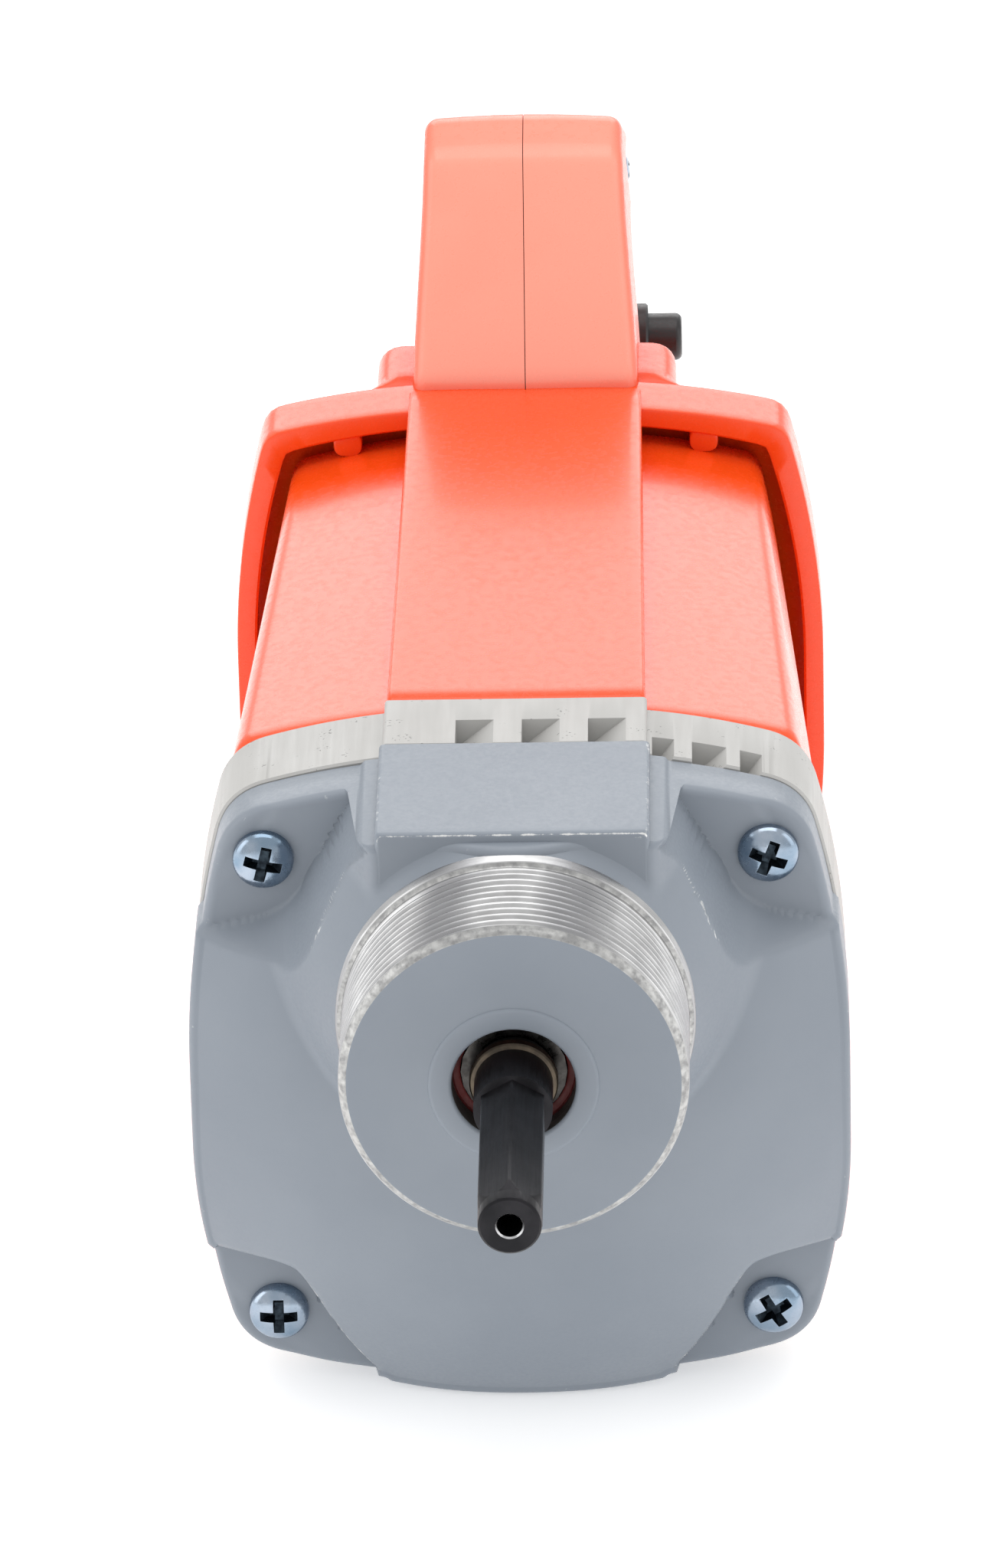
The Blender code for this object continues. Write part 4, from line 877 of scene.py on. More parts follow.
    def thread(self, radius: float, station: float, angle: float) -> float:
        """Radius of the nose at a point, with its thread's groove taken off."""
        if radius < self.nose_radius - 0.6 or not 1.6 < station < self.collar_start:
            return radius
        turn = (station - angle / math.tau * self.pitch) / self.pitch
        phase = abs((turn % 1.0) - 0.5) * 2.0
        groove = smooth(phase, 0.12, 0.88)
        run_out = smooth(station, self.collar_start - 2.2, self.collar_start - 0.4)
        return radius - self.thread_depth * groove * smooth(station, 1.6, 3.2) * (1 - run_out)

    def nose(self) -> bpy.types.Object:
        """The nose: painted face with its low ring, bare rim, thread, collar, and the bore darkened as
        painted shade.
        """
        paint, bare, edge, shaded_bore = 0, 1, 2, 3
        # The bore's walls and back take the near-black painted shade of the bore.
        profile = [(16.2, self.bore_depth), (self.bore, self.bore_depth), (self.bore, 1.2), (self.bore, 0.5)]
        slots = [shaded_bore] * len(profile)
        ring = [(13.7 - 0.7 * short, 0.45 * drop) for short, drop in eased(1.0, 0.0, 90.0, 7)]
        profile += [(self.bore + 0.2, 0.15), (self.bore + 0.6, 0.0), *ring]
        profile += [(14.0, 0.52), (18.0, 0.52), (22.0, 0.5), (26.3, 0.48), (26.7, 0.5)]
        slots += [paint] * (len(profile) - len(slots))
        profile += [(27.0, 0.62), (27.4, 1.0), (self.nose_radius - 0.1, 1.7)]
        slots += [edge, edge, edge]
        stations = spread(1.75, self.collar_start - 0.4, 150)
        profile += [(self.nose_radius, station) for station in stations]
        slots += [bare] * len(stations)
        step, collar = self.collar_start, self.collar_radius
        profile += [(self.nose_radius + 0.1, step - 0.2), (collar - 0.3, step), (collar, step + 0.3)]
        profile += [(collar, 36.0), (16.2, 36.0)]
        slots += [edge, edge, bare, bare, bare]
        skin = lathe(self.datum, profile, 288, self.datum.offset, slots, self.thread)
        finishes = (Finishes.PAINT, Finishes.ALLOY, Finishes.BRIGHT_EDGE, Finishes.BORE_SHADE)
        materials = [finish.material() for finish in finishes]
        return piece(skin.mesh("gear_cover_nose", closed=True), materials, 50.0)

    def build(self) -> list[bpy.types.Object]:
        """Builds the casting's pieces and puts them in place of the CAD cover."""
        made = [self.body(), self.raised_block(), self.nose()]
        for obj in made:
            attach(obj, "casing")
            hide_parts("gear_cover")
        return made


# ---------------------------------------------------------------- screws


@dataclass
class PanHeadScrew:
    """A pan head screw with a cross recess."""

    datum: Datum
    radius: float
    head_radius: float
    head_height: float
    length: float

    def mesh(self, name: str) -> bpy.types.Mesh:
        """The screw at the datum, its head's underside at station 0 and pointing backwards."""
        r, h = self.head_radius, self.head_height
        angles = [math.radians(a) for a in spread(2, 84, 14)]
        dome = [(r * math.sin(a), -h * (0.32 + 0.68 * math.cos(a))) for a in angles]
        profile = dome + [(r, -h * 0.3), (r, -0.25), (r - 0.25, 0.0), (self.radius, 0.0)]
        profile += [(self.radius, self.length - 1.0), (self.radius * 0.5, self.length)]
        obj = piece(lathe(self.datum, profile, 48).mesh(name), [Finishes.ZINC.material()])
        carved(obj, [self.recess(0.0), self.recess(90.0)])
        mesh = bevelled(obj, 0.12, 2, 50.0).data
        bpy.data.objects.remove(obj, do_unlink=True)
        return mesh

    def recess(self, turn: float) -> bpy.types.Mesh:
        """One blade of the cross: wide at the head's face and tapering to its floor."""
        reach, half = self.head_radius * 0.78, self.head_radius * 0.19
        depth = self.head_height * 0.72
        skin = Skin(self.datum)
        cos, sin = math.cos(math.radians(turn)), math.sin(math.radians(turn))
        for station, share in ((-self.head_height - 1.0, 1.1), (-self.head_height + depth, 0.42)):
            ring = []
            for x, z in ((-reach, -half), (reach, -half), (reach, half), (-reach, half)):
                x, z = x * share, z * (0.6 + 0.4 * share)
                ring.append((x * cos - z * sin, station, x * sin + z * cos))
            skin.ring(ring)
        mesh = skin.mesh("recess")
        mesh.materials.append(Finishes.DARK_ZINC.material())
        return mesh

    def placed(self, name: str, node: str, turn: float, matrix: Matrix) -> bpy.types.Object:
        """A screw moved to its place.

        Args:
            name: The piece's name.
            node: The CAD screw it stands for.
            turn: How far its cross is turned, in degrees.
            matrix: Moves the screw from the datum's axis to its place.

        Returns:
            The screw, riding on the casing.
        """
        mesh = self.mesh(name)
        home = Vector(self.datum.point(0, 0, 0))
        spin = Matrix.Rotation(math.radians(turn), 4, "Y")
        mesh.transform(matrix @ spin @ Matrix.Translation(-home))
        obj = piece(mesh, [])
        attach(obj, "casing")
        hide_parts(node)
        return obj


@dataclass
class Screws:
    """The screws that show: four in the cover and five in the handle."""

    datum: Datum
    cover_turns: tuple[float, ...] = (0.0, 14.0, -31.0, 22.0)

    def build(self) -> list[bpy.types.Object]:
        """Puts a screw on each CAD screw's own axis."""
        made = []
        for number, turn in enumerate(self.cover_turns, 1):
            low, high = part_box(f"cover_screw_{number}")
            head = (high[0] - low[0]) / MM / 2
            screw = PanHeadScrew(self.datum, 2.4, head - 0.02, 3.38, (high[1] - low[1]) / MM - 3.5)
            place = Vector(((low[0] + high[0]) / 2, low[1] + 3.4 * MM, (low[2] + high[2]) / 2))
            home = Matrix.Translation(place)
            made.append(screw.placed(f"cover_screw_zinc_{number}", f"cover_screw_{number}", turn, home))
        for number in range(1, 6):
            low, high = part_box(f"handle_screw_{number}")
            head = (high[2] - low[2]) / MM / 2
            screw = PanHeadScrew(self.datum, 1.5, head - 0.02, 1.98, (high[0] - low[0]) / MM - 2.1)
            place = Vector((high[0] - 2.0 * MM, (low[1] + high[1]) / 2, (low[2] + high[2]) / 2))
            across = Matrix.Translation(place) @ Matrix.Rotation(math.radians(90), 4, "Z")
            turn = 37.0 * number
            made.append(screw.placed(f"handle_screw_zinc_{number}", f"handle_screw_{number}", turn, across))
        return made


# ---------------------------------------------------------------- baffle ring and housing


@dataclass
class BaffleRing:
    """The grey vented ring between the cover and the motor housing."""

    datum: Datum
    start: float = 59.3
    end: float = 76.0
    wall: float = 6.4
    section: Section = Section(53.7, 47.3, 55.8, 49.2)
    block: Block = Block(21.5, 57.4)
    notch_length: float = 8.7
    notch_drop: float = 5.0
    block_notches: tuple[Pair, ...] = ((-6.6, 6.2), (4.2, 6.2), (15.0, 6.2))
    shoulder_notches: tuple[Pair, ...] = ((24.1, 3.6), (31.6, 5.6), (38.4, 3.6))
    side_vents: tuple[float, ...] = (-12.0, 2.0, 16.0)

    def louvre(self, x: float, width: float, top: float, length: float) -> bpy.types.Mesh:
        """A notch open to the front and the top: upright on its left and slanting up to its right."""
        left, right = x - width / 2, x + width / 2
        shape = ((left, top - self.notch_drop), (right, top), (right, top + 4.0), (left, top + 4.0))
        skin = Skin(self.datum)
        for station in (self.start - 1.0, self.start + length):
            skin.ring([(px, station, pz) for px, pz in shape])
        return skin.mesh("louvre")

    def build(self) -> list[bpy.types.Object]:
        """Builds the ring, open in the middle, with its notches and side vents cut."""
        skin = Skin(self.datum)
        profile = [(0.35, self.start), (0.0, self.start + 0.35), (0.0, self.end - 0.35), (0.35, self.end)]
        profile += [(self.wall, self.end), (self.wall, self.start)]
        for inset, station in profile:
            outline = self.section.inset(inset).outline(self.block.inset(inset), 30)
            skin.ring([(x, station, z) for x, z in outline])
        obj = piece(skin.mesh("vented_ring", closed=True), [Finishes.GREY_PLASTIC.material()])
        tools = [self.louvre(x, width, self.block.top, self.notch_length) for x, width in self.block_notches]
        for x, width in self.shoulder_notches:
            tools.append(self.louvre(x, width, self.section.top(x + width / 2), self.notch_length * 0.75))
        for z in self.side_vents:
            high = self.start + self.notch_length * 0.7
            tools.append(block_mesh(self.datum, (46.0, self.start - 1.0, z - 2.0), (60.0, high, z + 2.0)))
        obj = bevelled(carved(obj, tools), 0.25, 2, 50.0)
        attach(obj, "casing")
        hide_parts("baffle_ring")
        return [obj]


@dataclass
class StatorHousing:
    """The orange motor housing, tapering backwards under the raised band."""

    datum: Datum
    start: float = 76.3
    end: float = 199.0
    wall: float = 3.0
    band_front: float = 21.2
    band_rear: float = 20.2
    band_top: float = 57.2

    def outline(self, station: float, inset: float = 0.0) -> list[Pair]:
        """The housing's outline at a station, moved inwards by an inset."""
        share = clamp((station - self.start) / (self.end - self.start))
        section = BODY_FRONT.between(BODY_REAR, share).inset(inset)
        half = self.band_front + (self.band_rear - self.band_front) * share
        return section.outline(Block(half, self.band_top, 0.9).inset(inset), 30)

    def build(self) -> list[bpy.types.Object]:
        """Builds the housing with its inside wall, so that it is open at both ends."""
        skin = Skin(self.datum)
        profile = [(0.9, self.start), (0.35, self.start + 0.2), (0.0, self.start + 0.9)]
        profile += [(0.0, s) for s in spread(self.start + 4.0, self.end - 1.0, 26)]
        profile += [(0.3, self.end - 0.3), (0.9, self.end), (self.wall, self.end)]
        profile += [(self.wall, s) for s in spread(self.end - 4.0, self.start, 6)]
        for inset, station in profile:
            skin.ring([(x, station, z) for x, z in self.outline(station, inset)])
        obj = piece(skin.mesh("motor_housing", closed=True), [Finishes.ORANGE.material()], 40.0)
        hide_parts("stator_housing")
        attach(obj, "casing")
        return [obj]


@dataclass
class BrushCaps:
    """The slotted caps over the brushes, one on each side."""

    datum: Datum
    slot_half: float = 0.8
    slot_depth: float = 1.6
    slot_share: float = 0.82

    def build(self) -> list[bpy.types.Object]:
        """Builds a domed cap with a coin slot over each CAD cap."""
        made = []
        for side, sign in (("left", -1.0), ("right", 1.0)):
            low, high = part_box(f"{side}_brush_cap")
            centre = (low + high) / 2
            outer, inner = (high.x, low.x) if sign > 0 else (low.x, high.x)
            x, depth = outer / MM, abs(outer - inner) / MM
            radius = (high.y - low.y) / MM / 2
            station, height = self.datum.station(centre.y), self.datum.height(centre.z)
            profile = [(0.01, 0.0), (radius * 0.6, 0.0), (radius - 0.7, 0.15), (radius - 0.15, 0.6)]
            profile += [(radius, 1.4), (radius, depth), (0.01, depth)]
            profile = [(r, x - sign * deep) for r, deep in profile]
            mesh = across_mesh(self.datum, f"{side}_brush_cap_slotted", (station, height), profile)
            obj = piece(mesh, [Finishes.BLACK_PLASTIC.material()])
            reach, half, deep = radius * self.slot_share, self.slot_half, self.slot_depth
            slot = block_mesh(self.datum, (x - deep, station - reach, height - half),
                              (x + deep, station + reach, height + half))
            obj = bevelled(carved(obj, [slot]), 0.25, 2, 50.0)
            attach(obj, "casing")
            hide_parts(f"{side}_brush_cap")
            made.append(obj)
        return made


# ---------------------------------------------------------------- handle


class Side(Enum):
    """The two halves of the handle, by the sign of x."""

    LEFT = -1.0
    RIGHT = 1.0


@dataclass
class HandleShells:
    """The two orange halves: bell over the housing's rear, neck and D-shaped handle."""

    datum: Datum
    start: float = 193.0
    step: float = 201.0
    shoulder: float = 205.5
    neck_end: float = 223.0
    neck_half: float = 26.3
    neck_top: float = 55.5
    neck_bottom: float = -44.0
    half: float = 20.0
    half_top: float = 17.3
    top: float = 95.2
    bottom: float = -50.0
    hole_start: float = 232.0
    grip: float = 265.0
    end: float = 295.0
    hole_top: float = 66.0
    hole_bottom: float = -24.0
    wall: float = 3.5
    seam: float = 0.07
    edge: float = 2.6
    hole_edge: float = 6.0
    slot_half: float = 6.6
    tab_half: float = 2.5
    tab_drop: float = 4.6

    def bell_layers(self, count: int) -> list[tuple[list[Pair], float]]:
        """Closed outlines from the bell's lip over its shoulder to the neck, then back inside.

        Args:
            count: Points in each outline.

        Returns:
            (outline, station) pairs in order.
        """
        def bell(inset: float) -> list[Pair]:
            """The bell's outline, moved inwards."""
            return resampled(from_bottom(BELL.inset(inset).outline(None, 40)), count)

        def neck(inset: float) -> list[Pair]:
            """The neck's outline, moved inwards."""
            half, low, high = self.neck_half - inset, self.neck_bottom + inset, self.neck_top - inset
            corners = [(half, low), (half, high), (-half, high), (-half, low)]
            return resampled(from_bottom(rounded(corners, 5.0, 8)), count)

        layers = [(bell(self.wall), self.start + 0.4), (bell(self.wall - 0.4), self.start)]
        layers += [(bell(0.5), self.start), (bell(0.12), self.start + 0.15)]
        layers += [(bell(0.0), station) for station in spread(self.start + 0.6, self.shoulder - 1.6, 7)]
        layers += [(bell(inset), self.shoulder - short) for short, inset in eased(1.5, 15.0, 90.0, 5)]
        last = layers[-1][0]
        foot = neck(0.0)
        for t in spread(0.1, 1.0, 14):
            between = [(a[0] + (b[0] - a[0]) * t, a[1] + (b[1] - a[1]) * t) for a, b in zip(last, foot)]
            layers.append((between, self.shoulder + 3.0 * t ** 3))
        layers += [(foot, station) for station in spread(self.shoulder + 5.0, self.neck_end - 2.6, 5)]
        layers += [(neck(inset), self.neck_end - short) for short, inset in eased(2.4, 15.0, 90.0, 5)]
        layers += [(neck(9.0), self.neck_end), (neck(9.0), self.neck_end - 4.0)]
        layers += [(bell(self.wall + 8.0), self.shoulder - 3.0), (bell(self.wall), self.shoulder - 5.0)]
        layers += [(bell(self.wall), self.start + 4.0)]
        return layers

    def bell(self, side: Side) -> bpy.types.Object:
        """One half of the bell and the neck behind it."""
        count = 240
        layers = self.bell_layers(count)
        skin = Skin(self.datum)
        for i in range(count // 2 + 1):
            around = [(*layer[i], station) for layer, station in layers]
            skin.ring([(side.value * max(x, self.seam), station, z) for x, z, station in around])
        return piece(skin.mesh(f"{side.name.lower()}_bell_half"), [Finishes.ORANGE.material()], 40.0)

    def side_outline(self) -> list[Pair]:
        """The handle seen from the side, as (station, height) corners, anticlockwise."""
        start, end, top, bottom = self.step, self.end, self.top, self.bottom
        under = [(start, bottom + 4.0), (self.hole_start + 9.0, bottom), (end - 18.0, bottom)]
        back = [(end - 7.0, bottom + 10.0), (end - 2.0, 0.0), (end, top - 45.0), (end - 9.0, top - 27.5)]
        crest = [(end - 36.0, top - 13.5), (start + 31.0, top - 0.3), (start + 21.2, top - 3.4)]
        return under + back + crest + [(start + 13.2, top - 16.0), (start, self.neck_top + 2.2)]

    def hole_outline(self) -> list[Pair]:
        """The hand hole seen from the side."""
        return [(self.hole_start, self.hole_bottom), (self.grip - 1.0, self.hole_bottom), (self.grip, 12.0),
                (self.grip, self.hole_top), (self.hole_start + 2.0, self.hole_top), (self.hole_start, 40.0)]

    def width(self, station: float, height: float) -> float:
        """The handle's half width: it narrows upwards and towards the grip."""
        slim = max(smooth(height, self.neck_top - 10.0, self.top), smooth(station, self.neck_end, self.grip))
        return self.half + (self.half_top - self.half) * slim

    def grip_half(self, side: Side) -> bpy.types.Object:
        """One half of the handle loop, rounded towards its outside and towards the hand hole."""
        count = 360
        outer = resampled(from_bottom(rounded(self.side_outline(), 6.0, 10)), count)
        hole = resampled(from_bottom(rounded(self.hole_outline(), 9.0, 10)), count)
        skin = Skin(self.datum)

        def layer(outline: Sequence[Pair], inset: float, share: float, back: float) -> None:
            """Adds a ring: the outline, moved in, at a share of the width less a fixed distance."""
            moved = offset_outline(outline, inset) if inset else outline
            places = [((self.width(y, z) - back) * share, y, z) for y, z in moved]
            skin.ring([(side.value * max(x, self.seam), y, z) for x, y, z in places])

        for share in (0.0, 0.35, 0.7, 0.999):
            layer(outer, 0.5 * share ** 2, share, self.edge)
        for away, near in eased(self.edge, 12.0, 90.0, 7):
            layer(outer, 0.5 + near, 1.0, away)
        for away, near in eased(self.hole_edge, 90.0, 12.0, 7):
            layer(hole, -near, 1.0, away)
        for share in (0.999, 0.6, 0.0):
            layer(hole, 0.0, share, self.hole_edge)
        mesh = skin.mesh(f"{side.name.lower()}_handle_half", closed=True)
        # The handle halves take the orange with painted glare on faces turned up and forwards.
        obj = piece(mesh, [Finishes.GLARE_ORANGE.material()], 40.0)
        low, high = (self.datum.height(corner.z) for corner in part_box("trigger"))
        half, room = self.slot_half, 0.7
        slot = block_mesh(self.datum, (-half, self.grip - 1.5, low - room),
                          (half, self.grip + 14.0, high + room))
        return carved(obj, [slot])

    def tabs(self) -> list[bpy.types.Object]:
        """Rounded locating tabs under the bell's rim."""
        made = []
        for number, x in enumerate((-31.0, 31.0), 1):
            top = BELL.top(x) - self.wall + 0.6
            left, right, low = x - self.tab_half, x + self.tab_half, top - self.tab_drop
            outline = rounded([(left, low), (right, low), (right, top), (left, top)], 2.2, 6)
            skin = Skin(self.datum)
            for station in (self.start + 0.6, self.start + 12.0):
                skin.ring([(px, station, pz) for px, pz in outline])
            made.append(bevelled(piece(skin.mesh(f"rim_tab_{number}"), [Finishes.ORANGE.material()]), 0.5))
        return made

    def build(self) -> list[bpy.types.Object]:
        """Builds both halves of everything and puts them in place of the CAD shells."""
        made = []
        for side in Side:
            pair = [self.bell(side), self.grip_half(side)]
            for obj in pair:
                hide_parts(f"{side.name.lower()}_handle_shell")
            made += pair
        made += self.tabs()
        for obj in made:
            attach(obj, "casing")
        return made


@dataclass
class Controls:
    """The trigger, the lock button with its bezel, and the cord inlet."""

    datum: Datum
    trigger_half: float = 6.0

    def trigger(self) -> bpy.types.Object:
        """The finger trigger, with a bowed front."""
        low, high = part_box("trigger")
        front, back = self.datum.station(low.y), self.datum.station(high.y)
        bottom, top = self.datum.height(low.z), self.datum.height(high.z)
        corners = [(front + 4.2, bottom), (front + 12.0, bottom + 1.0), (back - 4.0, bottom + 14.0)]
        corners += [(back, top - 7.0), (back - 3.5, top), (front + 10.0, top), (front + 3.6, top - 8.0)]
        corners += [(front, bottom + 16.0), (front + 0.7, bottom + 5.0)]
        outline = resampled(rounded(corners, 3.0, 8), 120)
        half, edge = self.trigger_half - 0.1, 1.6
        skin = Skin(self.datum)
        sides = eased(edge, 0.0, 90.0, 6)
        steps = [(inset, x - half) for inset, x in sides] + [(0.0, x) for x in (-2.0, 0.0, 2.0)]
        steps += [(inset, half - x) for inset, x in reversed(sides)]
        for inset, x in steps:
            moved = offset_outline(outline, inset) if inset else outline
            skin.ring([(x, y, z) for y, z in moved])
        obj = piece(skin.mesh("finger_trigger"), [Finishes.BLACK_PLASTIC.material()])
        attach(obj, "trigger")
        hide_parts("trigger")
        return obj

    def lock_button(self) -> list[bpy.types.Object]:
        """The lock button and the lip round it."""
        low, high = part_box("lock_button")
        centre = self.datum.station((low.y + high.y) / 2), self.datum.height((low.z + high.z) / 2)
        radius, outer, inner = (high.z - low.z) / MM / 2, high.x / MM, low.x / MM
        dome = arc((radius - 1.2, outer - 1.2), 1.2, 0, 85, 7)
        profile = [(0.01, inner), (radius, inner), *dome, (radius * 0.5, outer - 0.02), (0.01, outer)]
        mesh = across_mesh(self.datum, "lock_button_black", centre, profile)
        button = piece(mesh, [Finishes.BLACK_PLASTIC.material()])
        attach(button, "lock_button")
        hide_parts("lock_button")
        rim = [(radius + 0.4, 18.0), (radius + 0.4, 20.6), (radius + 0.7, 20.9), (radius + 1.4, 20.9),
               (radius + 1.8, 20.5), (radius + 1.8, 18.0)]
        mesh = across_mesh(self.datum, "lock_button_lip", centre, rim, True)
        bezel = piece(mesh, [Finishes.BLACK_PLASTIC.material()])
        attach(bezel, "casing")
        return [button, bezel]

    def cord_inlet(self) -> bpy.types.Object:
        """The black rubber inlet under the grip."""
        low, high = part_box("cord_inlet")
        station = self.datum.station((low.y + high.y) / 2)
        bottom, top = self.datum.height(low.z), self.datum.height(high.z)
        outer = (high.y - low.y) / MM / 2
        bore = 4.2
        neck = outer - 1.6
        profile = [(bore, bottom + 0.4), (bore + 0.5, bottom), (neck - 0.8, bottom), (neck, bottom + 0.8)]
        profile += [(neck, bottom + 2.6), (outer - 0.6, bottom + 3.0), (outer, bottom + 3.8)]
        profile += [(outer, top), (bore, top)]
        skin = Skin(self.datum)
        for radius, height in profile:
            skin.ring([(radius * math.cos(a), station + radius * math.sin(a), height) for a in turns(64)])
        obj = piece(skin.mesh("cord_inlet_rubber", closed=True), [Finishes.RUBBER.material()])
        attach(obj, "casing")
        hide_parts("cord_inlet")
        return obj

    def build(self) -> list[bpy.types.Object]:
        """Builds all the controls."""
        return [self.trigger(), *self.lock_button(), self.cord_inlet()]


# ---------------------------------------------------------------- spindle and what shows round it


@dataclass
class Spindle:
    """The black oxide output spindle with its hexagon, and the bearing seen round it."""

    datum: Datum
    across_flats: float = 10.0
    tip_radius: float = 5.05
    tip_length: float = 2.6
    collar: float = 6.3
    washer: float = 7.1
    round_start: float = -8.4
    hole: float = 2.0

    def hexagonal(self, radius: float, station: float, angle: float) -> float:
        """The smaller of the turned radius and the hexagon's flat in that direction."""
        if station >= self.round_start:
            return radius
        sixth = math.radians(60)
        turn = (angle + math.radians(30)) % sixth - sixth / 2
        return min(radius, self.across_flats / 2 / math.cos(turn))

    def profile(self, tip: float, rear: float) -> tuple[list[Pair], list[int]]:
        """The spindle's profile from its centre hole to its rear end.

        Args:
            tip: Station of the tip.
            rear: Station of the rear end.

        Returns:
            The (radius, station) points and the material slot of each.
        """
        oxide, bright, bronze = 0, 1, 2
        corner = self.across_flats / 2 / math.cos(math.radians(30)) - 0.08
        radius, turned_end = self.tip_radius, tip + self.tip_length
        hole, washer = self.hole, self.washer
        profile = [(0.02, tip + 9.0), (hole - 0.5, tip + 7.4), (hole, tip + 7.0), (hole, tip + 0.3)]
        profile += [(hole + 0.25, tip + 0.02), (hole + 0.4, tip), (radius - 0.45, tip)]
        slots = [oxide, oxide, oxide, oxide, bright, oxide, oxide]
        profile += [(radius - 0.1, tip + 0.3), (radius, tip + 0.6), (radius, turned_end)]
        cone = [t * (corner - radius) for t in spread(0.1, 1.0, 10)]
        profile += [(radius + rise, turned_end + 3.4 * rise) for rise in cone]
        profile += [(corner, station) for station in spread(turned_end + 3.0, self.round_start - 1.6, 12)]
        shares = spread(0.1, 1.0, 8)
        profile += [(corner + t * (self.collar - corner), self.round_start - 1.4 + 1.4 * t) for t in shares]
        profile += [(self.collar, self.round_start + 0.5), (self.collar, 0.6)]
        slots += [oxide] * (len(profile) - len(slots))
        profile += [(washer - 0.25, 0.8), (washer, 1.1), (washer, 2.4), (washer - 0.3, 2.6)]
        slots += [bronze] * 4
        profile += [(6.4, 2.7), (6.4, 4.4), (6.0, 4.4), (6.0, 15.0), (8.0, 15.0), (8.0, 34.7)]
        profile += [(7.0, 34.7), (7.0, 45.3), (4.0, 45.3), (4.0, rear)]
        slots += [oxide] * (len(profile) - len(slots))
        return profile, slots

    def build(self) -> list[bpy.types.Object]:
        """Builds the spindle with its washer, and the red seal of its front bearing."""
        low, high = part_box("output_spindle")
        tip, rear = self.datum.station(low.y), self.datum.station(high.y)
        profile, slots = self.profile(tip, rear)
        skin = lathe(self.datum, profile, 192, self.datum.offset, slots, self.hexagonal)
        materials = [Finishes.OXIDE.material(), Finishes.STEEL.material(), Finishes.BRONZE.material()]
        spindle = piece(skin.mesh("output_spindle_oxide"), materials, 24.0)
        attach(spindle, "spindle")
        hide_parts("output_spindle")
        shield = [(8.6, 5.3), (8.9, 5.1), (9.7, 5.05), (9.85, 5.2), (12.8, 5.3), (12.8, 6.2), (8.6, 6.2)]
        seal = piece(lathe(self.datum, shield, 96, self.datum.offset).mesh("bearing_seal_red", closed=True),
                     [Finishes.SEAL.material()])
        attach(seal, "casing")
        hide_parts("bearing_shield")
        return [spindle, seal]


# ---------------------------------------------------------------- what stays hidden inside


@dataclass
class InnerParts:
    """Gives every CAD piece a procedural finish by its material slot."""

    def build(self) -> list[bpy.types.Object]:
        """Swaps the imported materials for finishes.

        Returns:
            The CAD pieces, none of them moved.
        """
        by_slot = {"cover_paint": Finishes.PAINT, "zinc_screw": Finishes.ZINC, "bare_alloy": Finishes.ALLOY,
                   "grey_plastic": Finishes.GREY_PLASTIC, "orange_plastic": Finishes.ORANGE,
                   "black_plastic": Finishes.BLACK_PLASTIC, "bearing_steel": Finishes.STEEL,
                   "seal_rubber": Finishes.SEAL, "black_rubber": Finishes.RUBBER,
                   "black_oxide": Finishes.OXIDE, "lamination": Finishes.LAMINATION,
                   "copper": Finishes.COPPER, "brass": Finishes.BRASS, "carbon": Finishes.CARBON,
                   "capacitor_case": Finishes.CAPACITOR}
        for node in frame["nodes"].values():
            for number, material in enumerate(node.data.materials):
                slot = material.name.split(".")[0] if material else "bearing_steel"
                node.data.materials[number] = by_slot.get(slot, Finishes.STEEL).material()
        # The front bearing's rings take the near-black painted shade of the bore.
        for name in ("spindle_front_bearing_inner_ring", "spindle_front_bearing_outer_ring"):
            for number in range(len(frame["nodes"][name].data.materials)):
                frame["nodes"][name].data.materials[number] = Finishes.OILED.material()
        return list(frame["nodes"].values())


# ---------------------------------------------------------------- studio


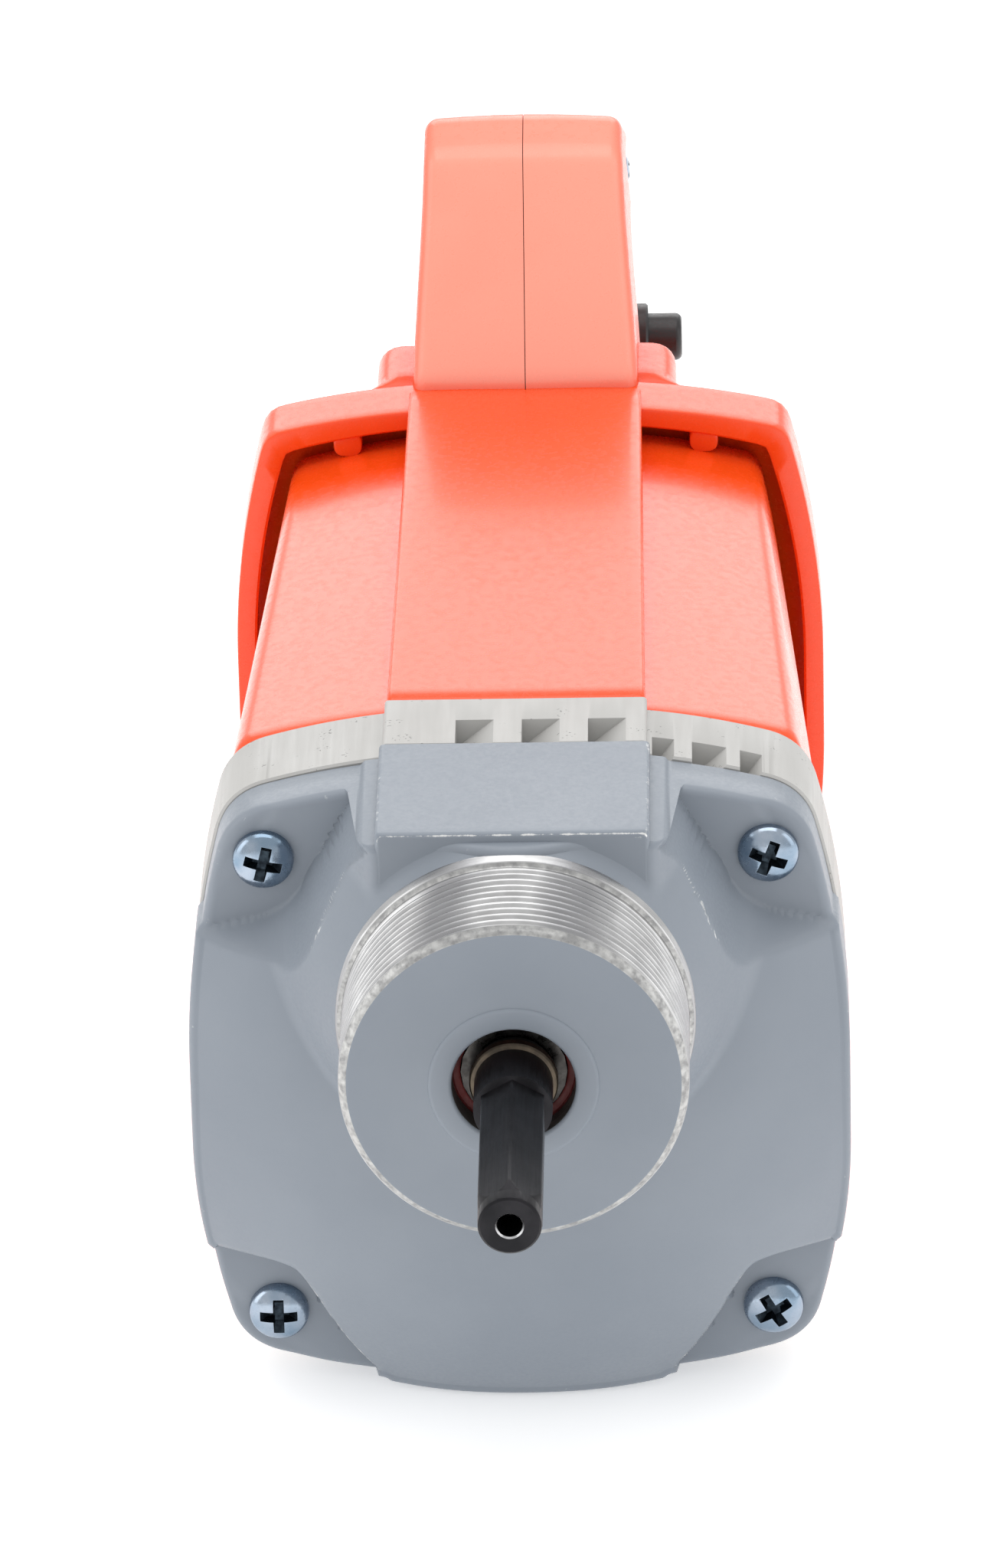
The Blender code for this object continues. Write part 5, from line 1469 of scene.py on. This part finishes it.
@dataclass
class Studio:
    """Pale floor, soft lights and the camera."""

    datum: Datum
    lens: float = 246.2
    pitch: float = 26.58
    yaw: float = -1.46
    roll: float = -1.40
    distance: float = 1.7027
    right_shift: float = 0.00216
    up_shift: float = -0.04796

    def camera(self) -> None:
        """Aims the camera at the nose from the front and above."""
        data = bpy.data.cameras.new("camera")
        data.lens = self.lens
        data.sensor_fit = "VERTICAL"
        data.sensor_height = 36.0
        data.clip_end = 20.0
        obj = bpy.data.objects.new("camera", data)
        bpy.context.scene.collection.objects.link(obj)
        pitch, yaw, roll = (math.radians(a) for a in (self.pitch, self.yaw, self.roll))
        forward = Vector((math.sin(yaw) * math.cos(pitch), math.cos(yaw) * math.cos(pitch), -math.sin(pitch)))
        level = forward.cross(Vector((0, 0, 1))).normalized()
        upright = level.cross(forward)
        right = level * math.cos(roll) + upright * math.sin(roll)
        up = upright * math.cos(roll) - level * math.sin(roll)
        target = Vector((0.0, self.datum.nose_y, self.datum.spindle_z))
        place = target - right * self.right_shift - up * self.up_shift - forward * self.distance
        turn = Matrix((right, up, -forward)).transposed().to_4x4()
        obj.matrix_world = Matrix.Translation(place) @ turn
        bpy.context.scene.camera = obj

    def floor(self) -> None:
        """A wide pale sweep under the tool."""
        mesh = bpy.data.meshes.new("floor")
        work = bmesh.new()
        for x, y in ((-5.0, -4.0), (5.0, -4.0), (5.0, 6.0), (-5.0, 6.0)):
            work.verts.new((x, y, -0.0005))
        work.faces.new(work.verts[:])
        work.to_mesh(mesh)
        work.free()
        obj = bpy.data.objects.new("floor", mesh)
        mesh.materials.append(Finishes.FLOOR.material())
        bpy.context.scene.collection.objects.link(obj)

    def light(self, name: str, place: Point, target: Point, size: Pair, power: float) -> None:
        """A soft rectangular light that faces a target.

        Args:
            name: The light's name.
            place: Where it hangs, in metres.
            target: What it faces.
            size: Its width and height.
            power: In watts.
        """
        data = bpy.data.lights.new(name, "AREA")
        data.shape = "RECTANGLE"
        data.size, data.size_y = size
        data.energy = power
        obj = bpy.data.objects.new(name, data)
        bpy.context.scene.collection.objects.link(obj)
        aim = (Vector(target) - Vector(place)).to_track_quat("-Z", "Y")
        obj.matrix_world = Matrix.Translation(place) @ aim.to_matrix().to_4x4()

    def build(self) -> list[bpy.types.Object]:
        """Sets the stage."""
        self.camera()
        self.floor()
        aim = (0.0, 0.0, 0.06)
        self.light("overhead", (0.0, 0.1, 1.6), aim, (1.4, 1.4), 9.0)
        self.light("left_bank", (-1.3, -0.3, 0.6), aim, (0.8, 1.1), 3.5)
        self.light("right_bank", (1.3, -0.3, 0.6), aim, (0.8, 1.1), 2.5)
        self.light("back_bank", (0.0, 2.6, 1.3), aim, (2.6, 1.6), 26.0)
        world = bpy.data.worlds.new("studio")
        world.use_nodes = True
        world.node_tree.nodes["Background"].inputs["Color"].default_value = (1.0, 1.0, 1.0, 1.0)
        world.node_tree.nodes["Background"].inputs["Strength"].default_value = 0.85
        scene = bpy.context.scene
        scene.world = world
        scene.view_settings.view_transform = "Standard"
        return []


def main() -> None:
    """Builds every piece in order."""
    logging.basicConfig(level=logging.INFO, format="%(name)s: %(message)s")
    datum = Datum.from_frame()
    for part in (GearCover(datum), Screws(datum), BaffleRing(datum), StatorHousing(datum), BrushCaps(datum),
                 HandleShells(datum), Controls(datum), Spindle(datum), InnerParts(), Studio(datum)):
        made = part.build()
        log.info("%s: %d pieces", type(part).__name__, len(made))


if __name__ == "__main__":
    main()
